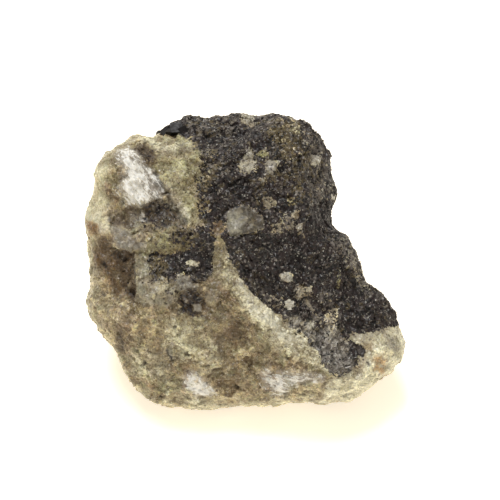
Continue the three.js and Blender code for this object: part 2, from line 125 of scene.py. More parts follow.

# %% [markdown]
# ## Zones on the broken faces
#
# Rock and ore meet along wandering lines, and the carbonate is stained in patches. A painted
# picture could place them too, but it would end with the broad face and blur close up. So each
# zone is an outline, traced in u and v, in millimetres, with the width over which it fades and
# with what it sets there. A later zone lies over an earlier, and a value below 0 holds back what
# noise adds:
#
# - ore is the share of black grains, and ochre an olive-brown stain on the ore.
# - olive, brown, grey, pale, milky and rust are tints of the carbonate, and dusk darkens it.
# - glassy is one large cleaved crystal in place of sugar.
# - bruise is calcite crushed to powder, and sweep is 1 where it was dragged by the lower blows.
# - fibre is bent strands in the ore, and a dark gap has a channel of its own, to which the cracks
#   and pits further down add painted shade.
# - rise lifts or sinks the surface, in millimetres.

# %% The traced zones
ZONES = [
    ("upper knob", 1.6, dict(brown=0.25), [
        (-19.9, 14.9), (-17.8, 17.1), (-15.4, 17.3), (-12.7, 16.9), (-12.0, 14.2), (-13.0, 10.2),
        (-18.5, 8.7), (-20.9, 10.6)]),
    ("lower face, left", 2.0, dict(pale=0.12, olive=0.1, brown=0.2), [
        (-22.3, -4.5), (-18.5, -4.1), (-16.1, -6.2), (-16.3, -8.9), (-18.5, -9.1),
        (-21.8, -7.4)]),
    ("lower face, brown by the block", 0.8, dict(brown=0.4, dusk=0.08), [
        (-15.2, -6.6), (-12.8, -6.4), (-12.4, -10.8), (-14.9, -11.0)]),
    ("left edge, brown", 0.9, dict(brown=0.6, dusk=0.25), [
        (-18.7, -8.6), (-16.9, -8.6), (-15.8, -11.7), (-17.3, -13.9), (-18.6, -11.7)]),
    ("lower face, green", 1.4, dict(olive=0.45, pale=0.5), [
        (-11.3, -8.6), (-8.9, -7.5), (-6.5, -8.4), (-5.6, -10.8), (-6.5, -13.2), (-8.6, -13.9),
        (-10.6, -12.7), (-11.8, -10.8)]),
    ("lower face, brown at the right", 1.6, dict(brown=0.2, dusk=0.0), [
        (-5.5, -7.7), (-2.9, -7.2), (0.7, -8.6), (0.7, -11.7), (-1.7, -11.7), (-4.1, -10.8),
        (-5.8, -9.3)]),
    ("right of the pocket", 1.0, dict(brown=0.5, dusk=0.3), [
        (-7.2, -3.2), (-4.1, -2.0), (-1.6, -4.5), (0.2, -7.6), (-0.4, -9.4), (-3.5, -8.5),
        (-6.0, -8.2), (-7.2, -6.0)]),
    ("lower face, brown foot", 1.5, dict(brown=0.5, dusk=0.08), [
        (-4.8, -13.6), (-1.7, -12.7), (1.4, -13.6), (2.1, -16.0), (3.0, -17.6), (2.6, -19.4),
        (0.7, -19.0), (-2.9, -18.7), (-4.8, -17.5), (-6.0, -15.6)]),
    ("lower face, light middle", 0.8, dict(pale=0.25, brown=0.2), [
        (-6.4, -11.2), (-3.2, -10.8), (-3.0, -14.3), (-5.0, -16.4), (-6.9, -16.2)]),
    ("lower face, tan left", 1.2, dict(brown=0.0, pale=0.5), [
        (-17.4, -13.4), (-15.5, -12.9), (-12.9, -12.8), (-10.9, -13.2), (-10.8, -16.4),
        (-12.6, -16.4), (-13.2, -15.0), (-14.6, -16.2), (-15.8, -17.2)]),
    ("foot, pale edge", 0.8, dict(pale=0.55, olive=0.1, dusk=-0.1), [
        (-11.5, -18.4), (-8.0, -19.1), (-4.9, -19.0), (-3.0, -19.8), (-3.0, -21.0),
        (-11.5, -21.0)]),
    ("violet crystal", 0.12, dict(grey=0.8, dusk=0.7, ore=0.0, glassy=0.9, rise=0.05), [
        (-11.2, -12.3), (-10.6, -12.0), (-10.2, -12.8), (-10.0, -13.6), (-10.4, -14.1),
        (-10.9, -13.5)]),
    # A painted glint on the crystal's corner, in place of a reflection.
    ("glint by the violet crystal", 0.1, dict(milky=1.0, pale=0.6), [
        (-10.7, -11.6), (-10.3, -11.4), (-10.0, -11.9), (-10.3, -12.3)]),
    ("ore body", 0.22, dict(ore=1.0, brown=0.0, olive=0.0), [
        (-12.2, 18.2), (-13.2, 20.0), (-13.7, 22.0), (-8.5, 25.1), (4.0, 25.1), (14.8, 22.0),
        (17.3, 13.5), (16.4, 6.7), (19.5, 5.5), (22.6, -1.4), (26.3, -5.1), (25.7, -8.5),
        (20.7, -9.1), (18.7, -9.7), (16.4, -9.8), (14.5, -10.8), (15.9, -12.2), (16.1, -14.1),
        (15.2, -15.3), (13.7, -16.1), (12.0, -15.7), (11.0, -14.4), (10.6, -12.8), (9.6, -11.1),
        (8.3, -10.1), (6.3, -8.5), (4.4, -7.0), (2.5, -5.7), (0.8, -4.1), (-0.1, -2.4),
        (-1.9, -0.5), (-2.6, 1.4), (-3.1, 2.7), (-3.4, 3.7), (-4.1, 3.0), (-4.7, 1.1),
        (-4.6, -1.4), (-5.4, -2.4), (-7.5, -3.2), (-9.4, -3.0), (-11.3, -2.0), (-13.1, -1.7),
        (-14.0, 0.0), (-13.3, 1.1), (-10.9, 1.0), (-8.5, 1.4), (-7.1, 3.0), (-5.7, 4.2),
        (-5.4, 5.3), (-6.3, 6.1), (-6.7, 8.0), (-7.3, 9.8), (-7.3, 12.0), (-6.7, 14.0),
        (-6.2, 15.6), (-6.6, 16.8), (-7.8, 17.5), (-9.1, 18.1), (-10.9, 17.9)]),
    ("scoop, black middle", 1.2, dict(ochre=-0.8, grey=-0.5), [
        (3.5, 3.0), (8.3, 3.0), (8.5, -0.8), (7.8, -2.4), (4.2, -2.4), (2.6, -0.6)]),
    ("scoop, blackest", 0.8, dict(ochre=-0.8, grey=-0.8, dusk=0.6), [
        (3.0, 3.2), (6.9, 3.4), (7.3, 1.4), (5.6, 0.5), (3.3, 1.0)]),
    ("dome, brown haze", 2.0, dict(ochre=0.15, grey=0.1), [
        (-0.7, 20.7), (8.0, 19.7), (10.8, 14.9), (12.0, 8.7), (7.0, 7.3), (0.3, 8.7),
        (-2.1, 14.9)]),
    ("dome, ochre above", 1.3, dict(ochre=1.0, ore=0.76, olive=0.15), [
        (2.2, 19.7), (5.1, 20.3), (7.7, 19.4), (8.4, 17.3), (7.5, 16.1), (5.1, 16.3),
        (3.2, 17.6)]),
    ("dome, tan spot", 0.5, dict(ore=0.5, pale=0.3, ochre=0.6), [
        (6.9, 19.5), (8.0, 19.5), (8.1, 18.4), (7.1, 18.4)]),
    ("dome, tan top right", 0.5, dict(ore=0.62, ochre=0.6, pale=0.1), [
        (4.6, 20.9), (6.8, 20.5), (7.8, 19.4), (6.4, 18.8), (4.8, 19.4)]),
    ("dome, ochre middle", 1.3, dict(ochre=0.75, ore=0.9), [
        (3.9, 12.1), (5.8, 13.0), (9.2, 12.8), (9.4, 10.2), (7.0, 8.7), (4.8, 9.7)]),
    ("dome, ochre right", 1.0, dict(ochre=0.8, ore=0.82), [
        (4.9, 16.7), (8.9, 17.2), (9.6, 13.5), (6.8, 13.6), (5.2, 15.0)]),
    ("dome, olive left", 1.1, dict(ochre=0.6, grey=0.3, ore=0.78), [
        (-6.5, 16.6), (-4.3, 16.7), (-3.8, 14.2), (-4.6, 10.6), (-6.5, 10.4)]),
    ("dome, grey top", 0.9, dict(grey=0.6, ore=0.85, ochre=0.35), [
        (-8.4, 19.7), (-5.3, 20.6), (0.7, 21.1), (2.9, 20.7), (2.9, 19.5), (-3.4, 18.3),
        (-7.9, 17.9)]),
    ("dome, dark top", 0.9, dict(ore=1.0, ochre=-0.2, grey=-0.2), [
        (-1.2, 19.6), (2.6, 19.4), (2.8, 17.0), (0.5, 16.6), (-1.4, 17.4)]),
    ("black crystals", 0.4, dict(ore=1.0, grey=0.0, ochre=0.0, dark_and_shade=0.6), [
        (-12.7, 18.5), (-11.8, 19.2), (-10.1, 20.1), (-9.1, 19.8), (-8.5, 19.0), (-8.7, 18.3),
        (-9.6, 18.0), (-11.1, 18.1)]),
    ("fleck at the top", 0.4, dict(milky=0.35, olive=0.4, ore=0.3, rise=0.05), [
        (-0.9, 20.7), (-0.2, 21.0), (1.0, 20.7), (1.5, 20.0), (0.5, 19.5), (-0.7, 19.9)]),
    ("fleck, dome left", 0.45,
     dict(milky=0.35, grey=0.6, olive=0.3, ore=0.15, dusk=0.2, glassy=0.3, rise=0.05), [
        (-0.8, 13.9), (-0.0, 14.7), (0.2, 15.9), (0.9, 16.5), (1.3, 15.6), (1.5, 14.2),
        (1.5, 13.0), (0.4, 12.3), (-0.7, 12.7)]),
    ("fleck, green", 0.35, dict(olive=1.0, ore=0.2), [
        (1.5, 15.5), (2.1, 16.0), (3.0, 15.9), (3.6, 15.2), (3.0, 14.8), (1.8, 14.9)]),
    ("fleck, dome right", 0.5, dict(grey=0.75, milky=0.25, olive=0.15, ore=0.25, glassy=0.5), [
        (2.4, 13.9), (3.6, 14.5), (4.9, 14.2), (4.9, 13.0), (3.6, 12.5), (2.8, 12.9)]),
    ("fleck, dome below", 0.4, dict(grey=0.8, ore=0.35), [
        (1.8, 12.1), (3.0, 11.9), (3.0, 10.8), (2.2, 11.1)]),
    ("lilac by the rim", 0.7, dict(grey=0.85, ore=0.68), [
        (9.9, 11.4), (11.3, 11.8), (12.5, 10.6), (12.6, 9.2), (11.3, 8.9), (10.1, 9.9)]),
    ("specks along the rim", 0.4, dict(milky=0.5, grey=0.4, ore=0.5), [
        (8.2, 18.5), (9.3, 17.3), (10.5, 14.9), (11.0, 12.5), (10.6, 12.0), (9.6, 14.2),
        (8.7, 16.4)]),
    ("rim of the dome", 0.5, dict(grey=0.75, milky=0.15, ore=0.78), [
        (8.8, 19.0), (9.9, 18.1), (11.3, 15.4), (12.0, 12.5), (12.9, 10.2), (12.4, 8.7),
        (10.9, 9.1), (10.9, 11.6), (10.6, 14.2), (9.6, 16.6), (8.4, 18.3)]),
    ("fleck by the rim", 0.18, dict(milky=0.9, pale=0.35, ore=0.0, rise=0.08), [
        (9.5, 13.7), (9.7, 14.9), (10.3, 15.2), (10.6, 14.5), (10.0, 13.6)]),
    ("fleck on the rim", 0.15, dict(milky=0.9, ore=0.0), [
        (12.2, 9.5), (12.7, 9.5), (12.7, 8.8), (12.2, 8.8)]),
    ("dark by the rim", 0.8, dict(ochre=-0.8, grey=-0.7, dusk=0.5), [
        (9.9, 7.6), (13.0, 7.4), (12.9, 4.9), (10.2, 4.7)]),
    ("fleck above the scoop", 0.3, dict(milky=0.3, grey=0.3, olive=0.3, ore=0.2, rise=0.06), [
        (2.2, 8.6), (3.0, 9.4), (4.2, 9.2), (4.7, 8.4), (4.0, 7.7), (2.8, 7.6)]),
    ("ochre spot", 0.4, dict(ochre=1.0, olive=0.4, ore=0.65), [
        (5.9, 9.1), (6.9, 9.2), (7.2, 8.2), (6.2, 7.9)]),
    ("fleck, row, upper", 0.22, dict(milky=0.6, grey=0.2, ore=0.0, rise=0.06), [
        (6.4, 6.7), (7.4, 7.4), (7.9, 6.6), (7.1, 5.9)]),
    ("fleck, row, long", 0.3,
     dict(grey=0.9, milky=0.1, ore=0.65, dusk=0.45, glassy=0.4, rise=0.05), [
        (5.3, 6.8), (6.3, 6.8), (7.0, 5.6), (6.8, 4.6), (5.8, 4.4), (5.3, 5.4)]),
    ("fleck, row, white", 0.15, dict(milky=1.0, pale=0.4, ore=0.0, rise=0.08), [
        (7.1, 5.2), (7.6, 5.6), (8.3, 5.3), (8.3, 4.7), (7.6, 4.2), (7.2, 4.5)]),
    ("fleck, row, green", 0.4, dict(olive=0.3, grey=0.6, milky=0.2, ore=0.3), [
        (4.1, 5.4), (5.3, 5.6), (5.4, 4.2), (4.2, 4.1)]),
    ("brown in the row", 0.4, dict(ore=0.85, grey=0.2, dusk=0.4), [
        (3.6, 7.3), (5.1, 7.5), (5.5, 5.6), (4.1, 5.6)]),
    ("grey below the row", 0.5, dict(grey=0.8, milky=0.1, ore=0.55), [
        (7.0, 4.4), (8.4, 4.4), (8.5, 3.2), (7.2, 3.4)]),
    ("edge of the dome", 1.0, dict(ore=0.72, dusk=0.75, olive=0.3), [
        (-7.9, 17.8), (-6.5, 16.4), (-5.8, 14.0), (-5.5, 11.4), (-5.6, 9.4), (-6.6, 9.2),
        (-6.7, 12.1), (-6.8, 14.5), (-7.7, 16.1)]),
    ("foot of the dome's edge", 0.5, dict(ore=0.62, dusk=0.3, olive=0.4), [
        (-6.9, 9.3), (-5.1, 9.2), (-5.0, 7.0), (-6.6, 6.6)]),
    # Painted shade under the knob, over its own grey stone: the dusk of these two zones darkens the
    # underside, most where it is darkest.
    ("under the knob", 0.9, dict(ore=0.15, dusk=0.78, grey=0.4, brown=0.1, rise=-0.14), [
        (-19.1, 6.8), (-18.1, 7.0), (-16.3, 7.5), (-15.4, 8.0), (-13.9, 8.5), (-12.0, 9.1),
        (-10.6, 8.7), (-9.4, 7.8), (-8.2, 6.3), (-7.8, 5.2), (-8.9, 4.3), (-11.3, 4.4),
        (-13.7, 4.9), (-16.1, 4.8), (-18.2, 5.1), (-19.0, 5.5)]),
    ("under the knob, darkest", 0.7, dict(ore=0.5, dusk=1.3, rise=-0.2), [
        (-14.9, 8.2), (-12.0, 8.8), (-10.9, 7.3), (-9.7, 6.0), (-11.3, 5.0), (-13.2, 4.9),
        (-14.8, 5.5)]),
    ("blue-grey spot", 0.4, dict(grey=0.8, milky=0.15, dusk=0.15), [
        (-16.4, 7.2), (-14.9, 7.6), (-14.0, 6.8), (-14.2, 5.4), (-15.6, 4.9), (-16.6, 5.6)]),
    ("brown specks by the rim", 0.5, dict(brown=0.8, dusk=0.35), [
        (-19.2, 7.8), (-18.5, 6.8), (-17.5, 6.3), (-17.2, 5.4), (-18.5, 5.1), (-19.4, 5.8)]),
    # Painted shade: the dusk round the recess darkens it where it lies below the bench.
    ("round the recess", 0.7, dict(dusk=0.55), [
        (-13.9, 1.2), (-13.2, -2.9), (-9.8, -4.1), (-6.5, -2.9), (-4.3, -2.1), (-4.8, -1.2),
        (-6.5, -2.1), (-9.8, -1.9), (-12.7, -1.9)]),
    ("below the recess", 0.7, dict(grey=0.45, dusk=0.68, ore=0.35), [
        (-11.3, -2.6), (-8.9, -2.4), (-6.8, -3.2), (-5.5, -4.3), (-7.9, -4.4), (-9.8, -5.5),
        (-11.3, -4.5)]),
    ("lilac cells below the recess", 0.45,
     dict(grey=0.85, milky=0.1, ore=0.12, dusk=0.25, glassy=0.4), [
        (-9.7, -1.8), (-7.9, -1.9), (-7.4, -3.1), (-7.7, -3.9), (-9.1, -3.9), (-9.8, -2.9)]),
    ("dark pocket", 0.6, dict(ore=0.62, dusk=1.35, brown=0.8, grey=0.0, rise=-0.2), [
        (-9.6, -5.7), (-8.9, -4.6), (-7.9, -3.9), (-6.5, -4.6), (-5.7, -5.5), (-5.8, -6.6),
        (-6.0, -7.3), (-7.4, -7.8), (-8.6, -7.4), (-9.6, -7.7), (-9.2, -6.7)]),
    ("left of the pocket", 0.6, dict(dusk=0.5, brown=0.5), [
        (-11.2, -4.2), (-9.6, -4.0), (-9.4, -7.6), (-10.7, -7.2)]),
    ("grey grain in the pocket", 0.14,
     dict(grey=0.9, milky=0.1, ore=0.0, dusk=0.12, glassy=0.8, rise=0.1), [
        (-7.4, -6.0), (-6.1, -5.9), (-6.0, -7.0), (-7.3, -7.0)]),
    ("small grain in the pocket", 0.12, dict(milky=0.6, ore=0.0, dusk=0.1, rise=0.0), [
        (-8.5, -5.2), (-7.9, -5.3), (-7.9, -5.8), (-8.5, -5.7)]),
    ("brown by the pocket", 0.6, dict(brown=0.8, dusk=0.35), [
        (-6.0, -7.4), (-4.3, -7.6), (-3.5, -8.5), (-5.0, -8.5)]),
    ("round grain by the ridge", 0.5,
     dict(grey=0.35, olive=0.35, milky=0.1, dusk=0.1, glassy=0.3, rise=0.08), [
        (-5.8, -4.8), (-5.0, -4.0), (-4.0, -4.1), (-3.6, -5.0), (-4.2, -5.9), (-5.3, -5.9)]),
    ("brown patch", 0.8, dict(rust=0.3, brown=0.75, dusk=0.75), [
        (-21.5, 1.5), (-21.2, 3.2), (-19.9, 3.9), (-18.9, 3.0), (-18.6, 1.4), (-18.5, -1.2),
        (-17.3, -5.0), (-18.6, -5.0), (-19.7, -2.9), (-20.7, -0.9), (-21.4, 0.3)]),
    ("brown patch, dark side", 0.35, dict(brown=0.9, dusk=0.8, ore=0.15, rise=-0.3), [
        (-18.7, 1.6), (-15.6, 1.3), (-15.6, -2.1), (-15.6, -5.5), (-16.3, -5.5), (-17.5, -3.7),
        (-18.4, -1.4)]),
    ("brown spot at the top", 0.6, dict(brown=1.0, dusk=1.3, ore=0.25, pale=0.0, rise=-0.12), [
        (-15.8, 16.4), (-13.9, 17.1), (-12.3, 16.4), (-12.0, 14.9), (-12.6, 14.1), (-13.9, 14.3),
        (-15.0, 15.0), (-15.8, 15.6)]),
    ("olive column", 0.9, dict(olive=0.7, brown=0.0, ore=0.0, pale=0.12, dusk=0.08), [
        (-12.7, 17.2), (-11.3, 17.9), (-9.6, 17.9), (-8.1, 17.2), (-7.1, 15.7), (-6.6, 14.0),
        (-6.7, 12.1), (-7.0, 10.2), (-6.7, 8.2), (-6.4, 6.6), (-6.7, 5.3), (-7.7, 5.4),
        (-8.9, 6.4), (-9.8, 7.8), (-10.8, 9.4), (-11.8, 11.0), (-12.5, 12.5), (-12.4, 14.5)]),
    ("fringe of the bruise", 0.4, dict(grey=0.5, dusk=0.85, ore=0.2), [
        (-14.6, 14.2), (-13.7, 13.9), (-12.5, 12.5), (-11.8, 11.6), (-11.3, 10.2), (-12.0, 8.7),
        (-13.7, 7.8), (-13.2, 9.7), (-12.7, 10.9), (-13.4, 12.1), (-14.4, 13.3)]),
    ("column, tan top", 0.9, dict(olive=0.1, brown=0.3, dusk=0.25), [
        (-12.7, 17.1), (-11.3, 17.8), (-9.8, 17.8), (-9.8, 16.2), (-11.0, 15.2), (-12.2, 15.3)]),
    ("column, pale right", 0.7, dict(olive=0.6, dusk=0.8), [
        (-9.8, 17.6), (-8.4, 17.2), (-7.9, 15.9), (-9.4, 15.1)]),
    ("column, dark middle", 0.9, dict(olive=0.8, dusk=0.4, ore=0.1), [
        (-8.9, 14.9), (-6.9, 15.4), (-6.4, 12.5), (-7.9, 12.0), (-9.2, 13.0)]),
    ("column, pale foot", 0.5, dict(pale=0.35, olive=0.55, dusk=0.0), [
        (-10.5, 9.6), (-8.9, 8.7), (-7.4, 6.8), (-6.4, 5.6), (-7.7, 5.3), (-9.4, 6.5),
        (-10.5, 7.9)]),
    ("column, light middle", 0.5, dict(pale=0.35, olive=0.5, dusk=-0.1), [
        (-10.8, 12.4), (-9.4, 12.8), (-8.7, 10.2), (-9.0, 8.8), (-10.6, 9.4)]),
    ("grey strip by the groove", 0.35, dict(milky=0.35, grey=0.3, olive=0.2, dusk=0.05), [
        (-12.0, 11.8), (-11.0, 11.1), (-10.1, 9.7), (-9.1, 8.2), (-7.9, 6.8), (-7.7, 6.1),
        (-8.9, 6.7), (-10.1, 7.8), (-11.2, 9.1), (-11.9, 10.4)]),
    ("lilac-grey bench", 0.6,
     dict(grey=0.85, milky=0.15, ore=0.0, dusk=0.42, glassy=0.5, rise=0.1), [
        (-19.1, 5.1), (-17.5, 5.4), (-16.3, 4.5), (-16.1, 3.2), (-14.4, 3.8), (-14.0, 1.8),
        (-16.1, 1.4), (-17.8, 1.6), (-18.7, 3.0)]),
    ("round crystal on the bench", 0.3,
     dict(grey=0.45, milky=0.1, dusk=0.45, glassy=0.6, rise=0.15), [
        (-15.7, 3.7), (-15.1, 4.3), (-14.4, 3.9), (-14.3, 3.2), (-15.0, 2.7), (-15.7, 3.1)]),
    ("yellow-green bench", 0.6, dict(olive=0.75, pale=0.05, ore=0.15, dusk=0.32, rise=0.1), [
        (-14.0, 3.2), (-12.8, 3.9), (-10.8, 3.7), (-9.8, 3.0), (-9.8, 1.7), (-11.8, 1.1),
        (-13.7, 1.5)]),
    ("dark over the lilac crystal", 0.5, dict(dusk=0.7, grey=0.3, brown=0.2, pale=0.1), [
        (-15.2, 5.6), (-12.4, 5.6), (-12.3, 4.5), (-13.5, 4.1), (-15.0, 4.4)]),
    ("dark green bench", 0.6, dict(olive=0.7, dusk=0.85, ore=0.5), [
        (-10.9, 3.9), (-9.4, 4.4), (-7.9, 4.8), (-6.4, 4.5), (-5.4, 3.7), (-5.8, 2.4),
        (-8.4, 1.7), (-10.6, 2.2)]),
    ("dark by the ridge", 0.4, dict(ore=0.85, dusk=1.0, olive=0.3), [
        (-7.2, 5.2), (-5.2, 5.0), (-5.0, 3.2), (-6.9, 3.0)]),
    ("grey-green block", 0.6,
     dict(grey=0.5, milky=0.12, olive=0.4, ore=0.06, dusk=0.28, glassy=0.25, rise=0.05), [
        (-15.5, 0.7), (-14.9, 1.3), (-13.6, 0.7), (-13.3, -1.4), (-12.6, -2.9), (-12.0, -4.3),
        (-12.7, -5.5), (-14.2, -6.1), (-15.5, -5.5)]),
    ("crystals right of the block", 0.6,
     dict(grey=0.3, milky=0.3, olive=0.3, dusk=0.05, glassy=0.2), [
        (-13.7, -3.1), (-12.7, -2.6), (-11.3, -2.7), (-9.8, -3.5), (-9.6, -5.3), (-10.3, -6.2),
        (-11.8, -6.5), (-13.2, -6.2), (-13.8, -4.8)]),
    ("white point on the block", 0.2, dict(milky=0.95), [
        (-13.1, -3.7), (-12.3, -3.7), (-12.4, -4.5), (-13.0, -4.4)]),
    ("recess, brown side", 0.6, dict(ochre=0.6, ore=0.8, dusk=0.45, olive=0.3, brown=0.5), [
        (-13.5, 1.0), (-11.3, 1.0), (-11.2, -1.7), (-13.0, -2.9), (-13.5, -0.9)]),
    ("fleck in the recess", 0.2, dict(milky=0.35, pale=0.3, ore=0.0, dusk=0.15, rise=0.05), [
        (-8.2, -0.0), (-7.4, 0.4), (-6.4, -0.1), (-6.9, -0.6), (-7.9, -0.6)]),
    # The left rim's own pale calcite, made lighter still by a painted glow of light through its thin
    # edge.
    ("pale left rim", 0.8, dict(pale=0.5, olive=0.45, ore=0.0, brown=0.0, glassy=0.4), [
        (-20.1, 14.5), (-19.4, 13.7), (-19.9, 11.8), (-20.3, 9.7), (-19.3, 8.7), (-19.4, 7.3),
        (-19.9, 5.8), (-21.1, 5.5), (-22.8, 6.3), (-22.8, 9.2), (-21.3, 10.6), (-21.8, 13.0)]),
    ("lilac left rim", 0.6, dict(milky=0.35, pale=0.3, dusk=0.1, ore=0.0, glassy=0.5), [
        (-22.3, 7.3), (-19.7, 7.8), (-19.1, 5.4), (-18.9, 4.2), (-20.0, 4.0), (-21.3, 3.4),
        (-22.3, 4.2)]),
    ("rust on the left rim", 0.45, dict(rust=1.0, dusk=0.7, milky=0.0, pale=0.0, glassy=0.0), [
        (-22.4, 5.6), (-21.8, 5.7), (-21.3, 5.4), (-20.8, 5.0), (-21.0, 4.3), (-21.5, 3.8),
        (-22.0, 4.4), (-22.4, 4.8)]),
    ("ridge, brown top", 0.5, dict(brown=0.7, rust=0.05, ore=0.15, dusk=0.3), [
        (-4.8, 5.6), (-3.4, 6.3), (-2.6, 5.4), (-2.8, 3.9), (-4.1, 3.2), (-4.9, 3.9)]),
    ("ridge", 0.8, dict(pale=0.85, olive=0.4, brown=0.0, rise=0.1), [
        (-4.4, 1.5), (-2.4, 1.3), (-1.4, -1.0), (0.6, -3.7), (2.5, -6.0), (5.5, -8.2),
        (8.6, -10.4), (10.7, -12.7), (11.8, -15.4), (9.5, -14.8), (6.8, -13.4), (4.2, -12.4),
        (2.9, -10.6), (1.1, -7.9), (0.0, -6.2), (-1.7, -4.1), (-4.0, -2.0)]),
    ("ridge, upper", 0.6, dict(pale=0.3, olive=0.3, brown=0.38, dusk=0.36), [
        (-4.9, 1.7), (-2.9, 2.6), (-1.8, -1.1), (-1.0, -3.0), (-2.6, -3.9), (-4.9, -2.1)]),
    # Partly the ridge's own pale calcite, partly a painted highlight where its crest faces the light.
    ("ridge, brightest", 0.75,
     dict(pale=1.0, olive=0.0, milky=0.5, glassy=0.35, dusk=-0.2, rise=0.12), [
        (-1.2, -2.5), (0.7, -4.1), (1.9, -5.7), (4.2, -7.4), (6.0, -9.5), (8.0, -11.0),
        (6.3, -11.8), (5.0, -11.5), (3.9, -9.6), (2.2, -8.3), (0.3, -6.2)]),
    ("ridge, tan foot", 0.8, dict(brown=0.35, pale=0.5), [
        (6.5, -11.2), (9.2, -11.2), (9.8, -12.8), (7.2, -13.1)]),
    ("pale lump", 0.7, dict(pale=1.0, olive=0.25, milky=0.2, dusk=-0.16, glassy=0.2), [
        (14.5, -10.8), (16.4, -9.8), (20.7, -9.1), (24.4, -9.4), (24.4, -14.4), (19.5, -18.4),
        (13.3, -21.6), (9.6, -21.6), (12.0, -17.0), (15.2, -15.3), (16.1, -14.1), (15.9, -12.2)]),
    ("lump under the ore", 0.6, dict(brown=0.4, olive=0.35, pale=0.35, dusk=0.12), [
        (16.6, -9.8), (18.7, -9.4), (20.7, -8.6), (21.2, -9.5), (19.7, -10.6), (17.9, -11.0),
        (16.8, -10.8)]),
    ("lump, left foot", 0.8, dict(brown=0.35, dusk=0.1), [
        (12.8, -16.0), (14.8, -15.2), (14.6, -17.0), (11.2, -18.8), (10.8, -17.0)]),
    ("pink-white on the lump", 0.3, dict(milky=0.6, ore=0.1), [
        (14.7, -10.1), (17.0, -9.9), (16.8, -10.8), (15.7, -11.0)]),
    ("tan on the lump", 0.5, dict(rust=0.3, brown=0.3, pale=0.4, milky=0.2, dusk=0.25, ore=0.05), [
        (15.9, -11.0), (18.0, -11.0), (18.0, -12.6), (16.4, -12.3)]),
    ("grey streaks on the lump", 0.5, dict(grey=0.8, olive=0.3, pale=0.2, dusk=0.1), [
        (19.9, -10.2), (21.5, -10.4), (22.2, -12.5), (21.2, -13.3), (19.9, -12.0)]),
    ("rust on the lump", 0.6, dict(rust=0.7, pale=1.0, milky=0.2), [
        (18.2, -13.3), (19.8, -13.1), (20.1, -14.6), (19.5, -15.9), (18.4, -15.4)]),
    ("fibrous plug", 0.6, dict(ore=0.84, grey=0.9, fibre=1.0, rise=0.12), [
        (7.8, -9.5), (9.8, -9.7), (12.1, -10.5), (13.6, -12.0), (15.4, -13.5), (15.3, -15.1),
        (13.1, -16.3), (11.4, -15.0), (10.6, -12.7), (8.8, -11.0)]),
    ("plug, light bundle", 0.4, dict(grey=1.0, milky=0.2, ore=0.4, fibre=1.0), [
        (11.0, -8.9), (12.1, -8.5), (13.2, -9.5), (14.1, -10.7), (14.9, -11.8), (14.4, -12.8),
        (13.1, -12.5), (12.1, -11.3), (11.1, -10.2)]),
    ("plug, grey-green end", 0.5, dict(olive=0.3, grey=0.7, milky=0.15, ore=0.45, fibre=0.95), [
        (5.5, -7.2), (7.3, -7.7), (9.1, -8.5), (10.6, -9.7), (9.8, -10.5), (8.0, -10.3),
        (6.5, -9.0)]),
    ("black slot", 0.15, dict(ore=0.95, dusk=1.0, dark_and_shade=0.6, pale=0.0, rise=-0.25), [
        (15.2, -11.4), (15.9, -11.5), (16.5, -12.0), (16.8, -12.8), (16.5, -13.3), (16.0, -12.9),
        (15.5, -12.2)]),
    ("red-brown by the slot", 0.4, dict(rust=0.35, brown=0.55, dusk=0.25, ore=0.08), [
        (16.2, -13.3), (17.0, -12.5), (17.2, -14.0), (16.7, -15.8), (15.7, -16.1),
        (15.7, -14.6)]),
    ("lump by the plug", 0.5, dict(brown=0.7, dusk=0.5), [
        (15.4, -14.6), (16.8, -14.6), (16.6, -16.5), (14.4, -16.8), (13.1, -16.5),
        (14.4, -16.1)]),
    ("specks in the scoop", 0.25, dict(milky=0.6, grey=0.3, ore=0.4), [
        (9.2, -8.3), (10.3, -8.3), (10.9, -8.8), (9.3, -9.1)]),
    ("scoop, light patches", 0.7, dict(ore=0.8, grey=0.6, milky=0.15), [
        (7.0, -3.4), (9.8, -4.4), (12.9, -4.6), (13.1, -9.5), (11.6, -10.2), (9.6, -8.5),
        (8.0, -5.9)]),
    ("streak in the scoop", 0.4, dict(ore=0.5, pale=0.4, rust=0.2, milky=0.2), [
        (11.4, -6.6), (12.9, -6.4), (13.3, -8.0), (13.0, -9.6), (12.3, -10.4), (11.4, -9.2)]),
    ("olive line in the scoop", 0.15, dict(olive=0.9, ore=0.5), [
        (13.2, -1.0), (13.7, -1.0), (13.7, -3.9), (13.3, -3.9)]),
    ("fleck, scoop, white", 0.15,
     dict(milky=0.8, grey=0.4, dusk=0.38, ore=0.0, glassy=0.5, rise=0.08), [
        (4.9, -1.8), (5.6, -1.4), (6.7, -1.7), (6.9, -2.6), (6.0, -2.8), (5.2, -2.6)]),
    ("fleck, scoop, grey", 0.3,
     dict(milky=0.5, grey=0.35, ore=0.2, dusk=0.3, glassy=0.5, rise=0.05), [
        (7.2, -3.6), (9.5, -3.5), (9.4, -4.4), (8.0, -5.0), (7.7, -5.7), (7.2, -4.9)]),
    ("specks by the ridge", 0.5, dict(milky=0.3, grey=0.5, ore=0.68), [
        (2.7, -4.3), (5.2, -4.7), (5.5, -6.7), (4.2, -6.7), (3.0, -5.4)]),
    ("fleck, scoop, small", 0.12,
     dict(milky=0.8, pale=0.1, olive=0.1, ore=0.0, dusk=0.15, glassy=0.7, rise=0.06), [
        (5.6, -5.6), (6.2, -5.2), (6.9, -5.7), (6.9, -6.4), (6.1, -6.7), (5.7, -6.3)]),
    ("light scratch in the scoop", 0.12, dict(milky=1.0, ore=0.1), [
        (8.7, -5.4), (9.2, -5.9), (9.8, -6.9), (9.5, -7.1), (8.7, -6.2)]),
    ("grey ledge at the right", 0.8, dict(ore=0.7, grey=0.9), [
        (12.6, 4.5), (14.8, 3.6), (16.6, -0.7), (17.8, -2.9), (18.9, -4.8), (17.0, -4.6),
        (15.4, -2.0), (13.6, 0.5), (12.6, 2.7)]),
    ("cleavage plate", 0.18,
